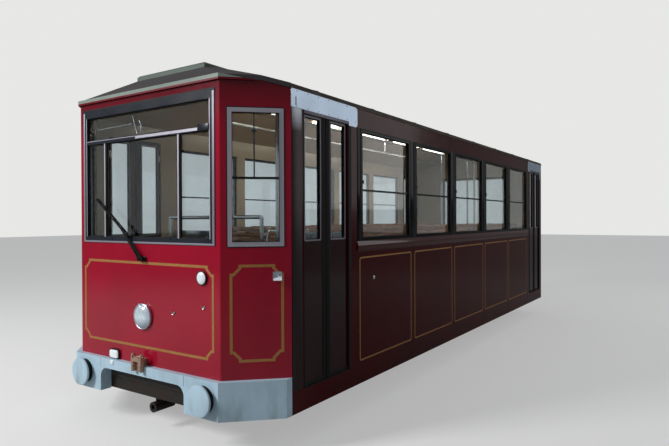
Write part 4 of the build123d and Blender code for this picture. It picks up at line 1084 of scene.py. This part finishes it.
def makeEndWindows():
    spec = endWindow
    low, high = lowOf("cab_side_frames").z, highOf("cab_side_frames").z
    outer = (spec["margin"], cornerLength - spec["margin"], low, high)
    inner = grown(-spec["frame"], *outer)
    bar, middle = high - spec["barDrop"], cornerLength / 2 + spec["rodAside"]
    mesh, caps = bmesh.new(), bmesh.new()
    for s in (1, -1):
        place = onCorner(s)
        band(mesh, roundRectangle(*grown(0.008, *outer), 0.010, 3), 0.0075, place, 0, 0.003)
        band(mesh, rectangle(*inner), 0.007, place, -0.0295, -0.010)
        slab(mesh, rectangle(*inner[:2], bar - 0.009, bar + 0.009), place, -0.010, -0.0065)
        band(caps, rectangle(*grown(0.003, *inner)), 0.005, place, 0.0035, 0.0065)
        depth = spec["rodDepth"]
        pipe(mesh, [place(middle, bar + 0.01, depth), place(middle, high - 0.02, depth)], 0.006, 8)
        turned(mesh, spec["knob"], place(middle, high - spec["knobDrop"], depth), (0, 0, 1), 12)
    finishPiece("cabWindowRubbers", mesh, "blackRubber")
    finishPiece("cabWindowBeads", caps, "windowAluminium")
    mesh = bmesh.new()
    half = highOf("rear_window_frame").y
    outer = (-half, half, lowOf("rear_window_frame").z, highOf("rear_window_frame").z)
    band(mesh, rectangle(*grown(0.009, *outer)), 0.0085, onRear, 0, 0.003)
    band(mesh, rectangle(*grown(-spec["rearFrame"], *outer)), 0.009, onRear, -0.0298, -0.010)
    finishPiece("rearWindowRubbers", mesh, "blackRubber")


# Roof: raised seams down the slopes, a row of screws along each edge of the deck
roof = {
    "seamHalf": 0.011, "seamHigh": 0.006, "pitch": 0.98, "deckGap": 0.084, "edgeIn": 0.03, "edgeRise": 0.040,
    "screws": (20, (0.36, 0, 0)), "screwBack": 0.35, "screwIn": 0.05,
}


def makeRoof():
    spec = roof
    low, high, top = lowOf("roof_deck"), highOf("roof_deck"), car["roofTopZ"]
    flatHalf, edge = high.y + spec["deckGap"], car["halfWidth"] - spec["edgeIn"]
    slope = (top - (car["roofEdgeZ"] + spec["edgeRise"])) / (car["halfWidth"] - flatHalf)
    count = int((high.x - low.x - 0.3) / spec["pitch"]) + 1
    start = (high.x + low.x) / 2 - (count - 1) * spec["pitch"] / 2
    path = [(edge, top - slope * (edge - flatHalf)), (flatHalf, top)]
    ring = [(y, z - 0.002) for y, z in path] + [(y, z + spec["seamHigh"]) for y, z in reversed(path)]
    seams, screws = bmesh.new(), bmesh.new()
    for s in (1, -1):
        place = lambda a, b, d: Vector((start + d, s * a, b))
        slab(seams, ring, place, -spec["seamHalf"], spec["seamHalf"])
        point = (start - spec["screwBack"], s * (high.y - spec["screwIn"]), high.z - 0.0035)
        dome(screws, point, (0, 0, 1), 0.007, 0.003, 10)
    repeatRow("roofSeams", seams, "roofPaint", [(count, (spec["pitch"], 0, 0))], 0.0015)
    repeatRow("deckScrews", screws, "poleSteel", [spec["screws"]])


# Benches: slatted seats and backs on iron frames, with grab handles
bench = {
    "rows": 8, "run": 0.516, "seatDepth": 0.42, "slat": (0.056, 0.014), "slats": 6, "slatDrop": 0.0016,
    "width": (0.285, 1.262), "floorZ": 0.890, "seatZ": 1.320, "backZ": 1.785, "lean": 0.060, "backGap": 0.050,
    "frames": (0.400, 1.130), "frameHalf": 0.009, "handleIn": 0.012,
}


def makeBenches():
    spec = bench
    front, floorZ, seatZ, backGap = highOf("bench_seats").x, spec["floorZ"], spec["seatZ"], spec["backGap"]
    back = front - spec["seatDepth"]
    benchRow = (spec["rows"], (-(front - lowOf("bench_seats").x - spec["run"]) / (spec["rows"] - 1), 0, 0))
    width, thick = spec["slat"]
    length = spec["width"]
    mesh = bmesh.new()
    brick(mesh, front - width, front, *length, seatZ - thick, seatZ)
    mirrored(mesh)
    slatRow = (spec["slats"], ((width - spec["seatDepth"]) / (spec["slats"] - 1), 0, -spec["slatDrop"]))
    seat = repeatRow("benchSeatSlats", mesh, "benchWood", [slatRow, benchRow], 0.004)
    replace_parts(seat, "bench_seats")
    mesh = bmesh.new()
    tilt = spec["lean"] / (spec["backZ"] - seatZ)
    a, b = back + 0.002, seatZ + backGap
    outline = [(a, b), (a - tilt * width, b + width), (a - tilt * width - thick, b + width), (a - thick, b)]
    slab(mesh, outline, crosswise, *length)
    mirrored(mesh)
    step = (spec["backZ"] - seatZ - backGap - width) / (spec["slats"] - 1)
    backRow = (spec["slats"], (-tilt * step, 0, step))
    repeatRow("benchBackSlats", mesh, "benchWood", [backRow, benchRow], 0.004)
    mesh = bmesh.new()
    under, foot, top = seatZ - thick, floorZ + 0.010, 1.78
    lean = lambda z: back - thick - tilt * (z - seatZ)
    bars = [
        [(front - 0.012, under), (back - 0.02, under - 0.008), (back - 0.02, under - 0.034),
         (front - 0.03, under - 0.026)],
        [(lean(under) + 0.002, under - 0.03), (lean(top), top), (lean(top) - 0.022, top),
         (lean(under) - 0.030, under - 0.03)],
        [(front - 0.10, under - 0.02), (front - 0.14, under - 0.02), (front - 0.165, foot), (front - 0.135, foot)],
        [(back + 0.070, under - 0.02), (back + 0.030, under - 0.02), (back + 0.055, foot), (back + 0.085, foot)],
        rectangle(front - 0.10, back + 0.02, foot, floorZ),
        rectangle(front - 0.15, back + 0.045, under - 0.19, under - 0.215),
    ]
    for y, outline in itertools.product(spec["frames"], bars):
        slab(mesh, outline, crosswise, y - spec["frameHalf"], y + spec["frameHalf"])
    mirrored(mesh)
    repeatRow("benchFrames", mesh, "castIron", [benchRow], 0.002)
    mesh = bmesh.new()
    y = length[0] + spec["handleIn"]
    grip = ((1.50, -0.012, 1.50), (1.50, 0.052, 1.52), (1.72, 0.060, 1.73), (1.76, -0.010, 1.755))
    pipe(mesh, bend([(lean(at) + out, y, z) for at, out, z in grip], 0.045, 6), 0.010, 10)
    mirrored(mesh)
    repeatRow("benchHandles", mesh, "poleSteel", [benchRow])


# Saloon: ceiling lights, step nosings, door sill plates and ribs along the aisle
saloon = {
    "light": (0.42, 0.055), "lightPlace": (2.10, 0.200), "lights": (5, (-1.15, 0, 0)), "ceilingDrop": 0.041,
    "steps": 3, "stepRun": 0.25, "stepLow": 0.472, "floorZ": 0.890, "stepHalf": 0.275, "noseThick": 0.0035,
    "noseDeep": 0.045, "noseHigh": 0.028, "sills": (3.00, -4.075), "sill": (1.292, 1.346, 0.4715, 0.4745),
    "sillRibs": (49, (0.0140, 0, 0)), "ribs": (-0.22, -0.11, 0.0, 0.11, 0.22), "ribRun": (-2.70, 2.30),
}


def makeSaloonFittings():
    spec = saloon
    (long, wide), (x, y), ceiling = spec["light"], spec["lightPlace"], car["roofTopZ"] - spec["ceilingDrop"]
    lights, sills, noses, ribs = (bmesh.new() for k in range(4))
    for s in (1, -1):
        outline = roundRectangle(x - long, x + long, s * y - wide, s * y + wide, 0.02, 4)
        slab(lights, outline, flat, ceiling, ceiling - 0.030)
        y0, y1, z0, z1 = spec["sill"]
        for sill in spec["sills"]:
            brick(sills, sill, sill + 0.004, s * y0, s * y1, z0, z1)
    repeatRow("ceilingLights", lights, "tubeLight", [spec["lights"]], 0.008)
    rise, half, thick = (spec["floorZ"] - spec["stepLow"]) / spec["steps"], spec["stepHalf"], spec["noseThick"]
    for k in range(spec["steps"]):
        z = spec["stepLow"] + rise * (k + 1)
        back = spec["stepRun"] * k
        for edge, way in ((car["saloonFrontX"] - back, 1), (car["saloonRearX"] + back, -1)):
            brick(noses, edge - way * spec["noseDeep"], edge + way * thick, -half, half, z - 0.0005, z + thick)
            brick(noses, edge, edge + way * thick, -half, half, z - spec["noseHigh"], z)
    finishPiece("stepNosings", noses, "aluminium", 0.001)
    repeatRow("doorSills", sills, "aluminium", [spec["sillRibs"]])
    for y in spec["ribs"]:
        brick(ribs, *spec["ribRun"], y - 0.004, y + 0.004, spec["floorZ"] - 0.0005, spec["floorZ"] + 0.0025)
    finishPiece("aisleRibs", ribs, "floorRubber")


# Cab: gauges, levers, a dark ledge and buttons on the desk
desk = {
    "slope": ((3.950, 1.392), (4.110, 1.482)), "gauges": (-0.30, -0.10, 0.10), "levers": (0.42, -0.56),
    "rim": [(0.040, -0.001), (0.060, -0.001), (0.060, 0.010), (0.052, 0.014), (0.050, 0.008), (0.040, 0.008)],
    "dial": [(0, 0), (0.050, 0), (0.050, 0.006), (0, 0.006)],
    "glass": [(0, 0.009), (0.0505, 0.009), (0.0505, 0.0105), (0, 0.0115)],
    "boot": [(0, 0), (0.042, 0), (0.038, 0.012), (0.014, 0.020), (0.012, 0.028), (0, 0.028)],
    "knob": [(0, -0.02), (0.016, -0.016), (0.022, 0.0), (0.019, 0.016), (0.010, 0.024), (0, 0.026)],
    "button": [(0, -0.001), (0.011, -0.001), (0.011, 0.006), (0.008, 0.010), (0, 0.011)],
    "buttonY": 0.20, "buttonRise": 0.05, "buttons": (5, (0, 0.034, 0)), "buttonRows": 3, "buttonPitch": 0.045,
    "ledge": (4.135, 4.176, -0.60, 0.60, 1.481, 1.492),
}


def makeDesk():
    spec = desk
    low, high = (Vector((x, 0, z)) for x, z in spec["slope"])
    run = (high - low).normalized()
    out = Vector((-run.z, 0, run.x))
    middle = (low + high) / 2
    rims, glasses, black = bmesh.new(), bmesh.new(), bmesh.new()
    for y in spec["gauges"]:
        point = middle + Vector((0, y, 0))
        for mesh, profile in ((rims, "rim"), (black, "dial"), (glasses, "glass")):
            turned(mesh, spec[profile], point, out, 40)
        pivot = point + out * 0.0072
        pipe(rims, [pivot, pivot + run * 0.036 + Vector((0, 0.018, 0))], 0.0012, 6)
    finishPiece("gaugeRims", rims, "chrome")
    finishPiece("gaugeGlasses", glasses, "lensGlass")
    for y in spec["levers"]:
        base = middle + Vector((0, y, 0))
        turned(black, spec["boot"], base, out, 32)
        pipe(black, [base + out * 0.02, base + out * 0.13], 0.008)
        turned(black, spec["knob"], base + out * 0.14, out, 24)
    brick(black, *spec["ledge"])
    finishPiece("deskControls", black, "switchPlastic", 0.001)
    mesh = bmesh.new()
    turned(mesh, spec["button"], low + run * spec["buttonRise"] + Vector((0, spec["buttonY"], 0)), out, 16)
    rows = [spec["buttons"], (spec["buttonRows"], tuple(run * spec["buttonPitch"]))]
    repeatRow("deskButtons", mesh, "redLens", rows)


# Driver's seat: a turned column, a pan and two crowned cushions
seat = {
    "x": 3.715, "floorZ": 0.472, "topZ": 1.192, "half": 0.225, "depth": 0.205, "backHigh": 0.520, "lean": 0.075,
    "tuck": 0.014, "voxel": 0.008, "pressure": 4, "lastFrame": 20, "crown": 0.012,
    "column": [
        (0, 0), (0.185, 0), (0.188, 0.006), (0.180, 0.014), (0.060, 0.030), (0.046, 0.060), (0.046, 0.34),
        (0.034, 0.35), (0.034, 0.60), (0, 0.60),
    ],
}


def crownedPad(name, corners, radius, place, low, high):
    mesh = bmesh.new()
    slab(mesh, roundRectangle(*corners, radius, 6), place, low, high)
    bmesh.ops.recalc_face_normals(mesh, faces=mesh.faces)
    data = bpy.data.meshes.new(name)
    mesh.to_mesh(data)
    mesh.free()
    pad = bpy.data.objects.new(name, data)
    scene.collection.objects.link(pad)
    bpy.context.view_layer.objects.active = pad
    remesh = pad.modifiers.new("voxels", "REMESH")
    remesh.mode, remesh.voxel_size = "VOXEL", seat["voxel"]
    pad.data = evaluatedMesh(pad)
    pad.modifiers.clear()
    before = [v.co.copy() for v in pad.data.vertices]
    cloth = pad.modifiers.new("cloth", "CLOTH")
    cloth.settings.use_pressure = True
    cloth.settings.uniform_pressure_force = seat["pressure"]
    cloth.settings.effector_weights.gravity = 0
    for frameNumber in range(1, seat["lastFrame"] + 1):
        scene.frame_set(frameNumber)
    pad.data = bpy.data.meshes.new_from_object(pad.evaluated_get(bpy.context.evaluated_depsgraph_get()))
    pad.modifiers.clear()
    scene.frame_set(1)
    for vert, start in zip(pad.data.vertices, before):
        move = vert.co - start
        if move.length > seat["crown"]:
            vert.co = start + move * (seat["crown"] / move.length)
    smooth = pad.modifiers.new("rounder", "SUBSURF")
    smooth.levels = smooth.render_levels = 1
    pad.data.materials.clear()
    pad.data.materials.append(finishes["seatLeather"])
    for face in pad.data.polygons:
        face.use_smooth = True
    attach(pad, "car")


def makeSeat():
    spec = seat
    x, z, half, depth, tuck = spec["x"], spec["topZ"], spec["half"], spec["depth"], spec["tuck"]
    high, tilt = spec["backHigh"], spec["lean"] / spec["backHigh"]
    leaning = lambda a, b, d: Vector((x - depth + 0.012 + d - tilt * (b - z), a, b))
    corners = (x - depth + 0.085, x + depth - tuck, -half + tuck, half - tuck)
    crownedPad("seatCushion", corners, 0.055, flat, z - 0.070, z - tuck)
    crownedPad("seatBackCushion", (-half + tuck, half - tuck, z - 0.03, z + high - 0.035), 0.070, leaning, 0.010, 0.052)
    mesh = bmesh.new()
    turned(mesh, spec["column"], (x, 0, spec["floorZ"]), (0, 0, 1))
    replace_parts(finishPiece("seatColumn", mesh, "poleSteel"), "driver_seat")
    mesh = bmesh.new()
    outline = roundRectangle(x - depth + 0.055, x + depth - 0.008, -half + 0.008, half - 0.008, 0.05, 5)
    slab(mesh, outline, flat, z - 0.092, z - 0.068)
    outline = roundRectangle(-half + 0.010, half - 0.010, z - 0.06, z + high - 0.02, 0.06, 5)
    slab(mesh, outline, leaning, -0.008, 0.014)
    finishPiece("seatShell", mesh, "deskPlastic", 0.004)


# Running gear: bosses and bolts on the wheels, caps and bolts on the axle boxes, bolster bolts and hoses
gear = {
    "rails": ((0.760, 0.060), (-0.760, 0.095)), "wheelBolts": 8, "boltRing": 0.150, "capY": 1.012, "capBolt": 0.042,
    "boss": [(0.054, -0.001), (0.098, -0.001), (0.098, 0.008), (0.086, 0.016), (0.054, 0.016), (0.054, -0.001)],
    "rim": [(0.225, -0.001), (0.262, -0.001), (0.258, 0.006), (0.229, 0.006), (0.225, -0.001)],
    "cap": [(0, -0.001), (0.034, -0.001), (0.030, 0.010), (0, 0.012)],
    "bolster": (6, -0.125, 0.05, 0.22, 0.431),
    "hose": ((0.12, 0.42, 0.52), (0.12, 0.50, 0.56), (0.10, 0.64, 0.46), (0.06, 0.70, 0.36), (0.04, 0.70, 0.24)),
}


def middleOf(node):
    return (lowOf(node) + highOf(node)) / 2


def makeWheelDetails(end, which):
    node, body = f"{end}_bogie_{which}_wheelset", f"{end}_bogie_{which}_axle"
    middle = middleOf(node)
    mesh = bmesh.new()
    for (rail, half), side in itertools.product(gear["rails"], (1, -1)):
        start, axis = Vector((middle.x, rail + side * half, middle.z)), (0, side, 0)
        turned(mesh, gear["boss"], start, axis)
        turned(mesh, gear["rim"], start, axis, 64)
        for k in range(gear["wheelBolts"]):
            turn = 2 * math.pi * k / gear["wheelBolts"]
            spot = Vector((math.cos(turn), 0, math.sin(turn))) * gear["boltRing"]
            hexBolt(mesh, start + spot, axis, 0.011)
    finishPiece(f"{end}{which.title()}WheelDetails", mesh, "wheelSteel", 0.0, body)
    return middle


def makeRunningGear(end):
    body = f"{end}_bogie"
    caps, bolts, hose = bmesh.new(), bmesh.new(), bmesh.new()
    for which in ("front", "rear"):
        middle = makeWheelDetails(end, which)
        for s in (1, -1):
            start, axis, reach = Vector((middle.x, s * gear["capY"], middle.z)), (0, s, 0), gear["capBolt"]
            for dx, dz in itertools.product((-reach, reach), repeat=2):
                hexBolt(caps, start + Vector((dx, 0, dz)), axis, 0.009)
            turned(caps, gear["cap"], start, axis, 32)
    finishPiece(end + "AxleCaps", caps, "runningGear", 0.0, body)
    middle = middleOf(body + "_frame").x
    count, first, pitch, aside, height = gear["bolster"]
    for k, s in itertools.product(range(count), (1, -1)):
        hexBolt(bolts, (middle + first + pitch * k, s * aside, height), (0, 0, -1), 0.010)
    finishPiece(end + "BolsterBolts", bolts, "runningGear", 0.0, body)
    pipe(hose, bend([(middle + x, y, z) for x, y, z in gear["hose"]], 0.06, 6), 0.011)
    finishPiece(end + "BrakeHose", hose, "blackRubber", 0.0, body)


makeLining()
makeWindscreen()
makeWiper()
makeLamps()
makeFrontFittings()
print("front done")
makeHeaders()
for leafName in itertools.product(("front", "rear"), ("left", "right"), ("fore", "aft")):
    makeLeaf(*leafName)
makeSideWindows()
makeEndWindows()
makeRoof()
print("sides and roof done")
makeBenches()
makeSaloonFittings()
makeDesk()
makeSeat()
print("inside done")
for bogieEnd in ("front", "rear"):
    makeRunningGear(bogieEnd)
print("running gear done")
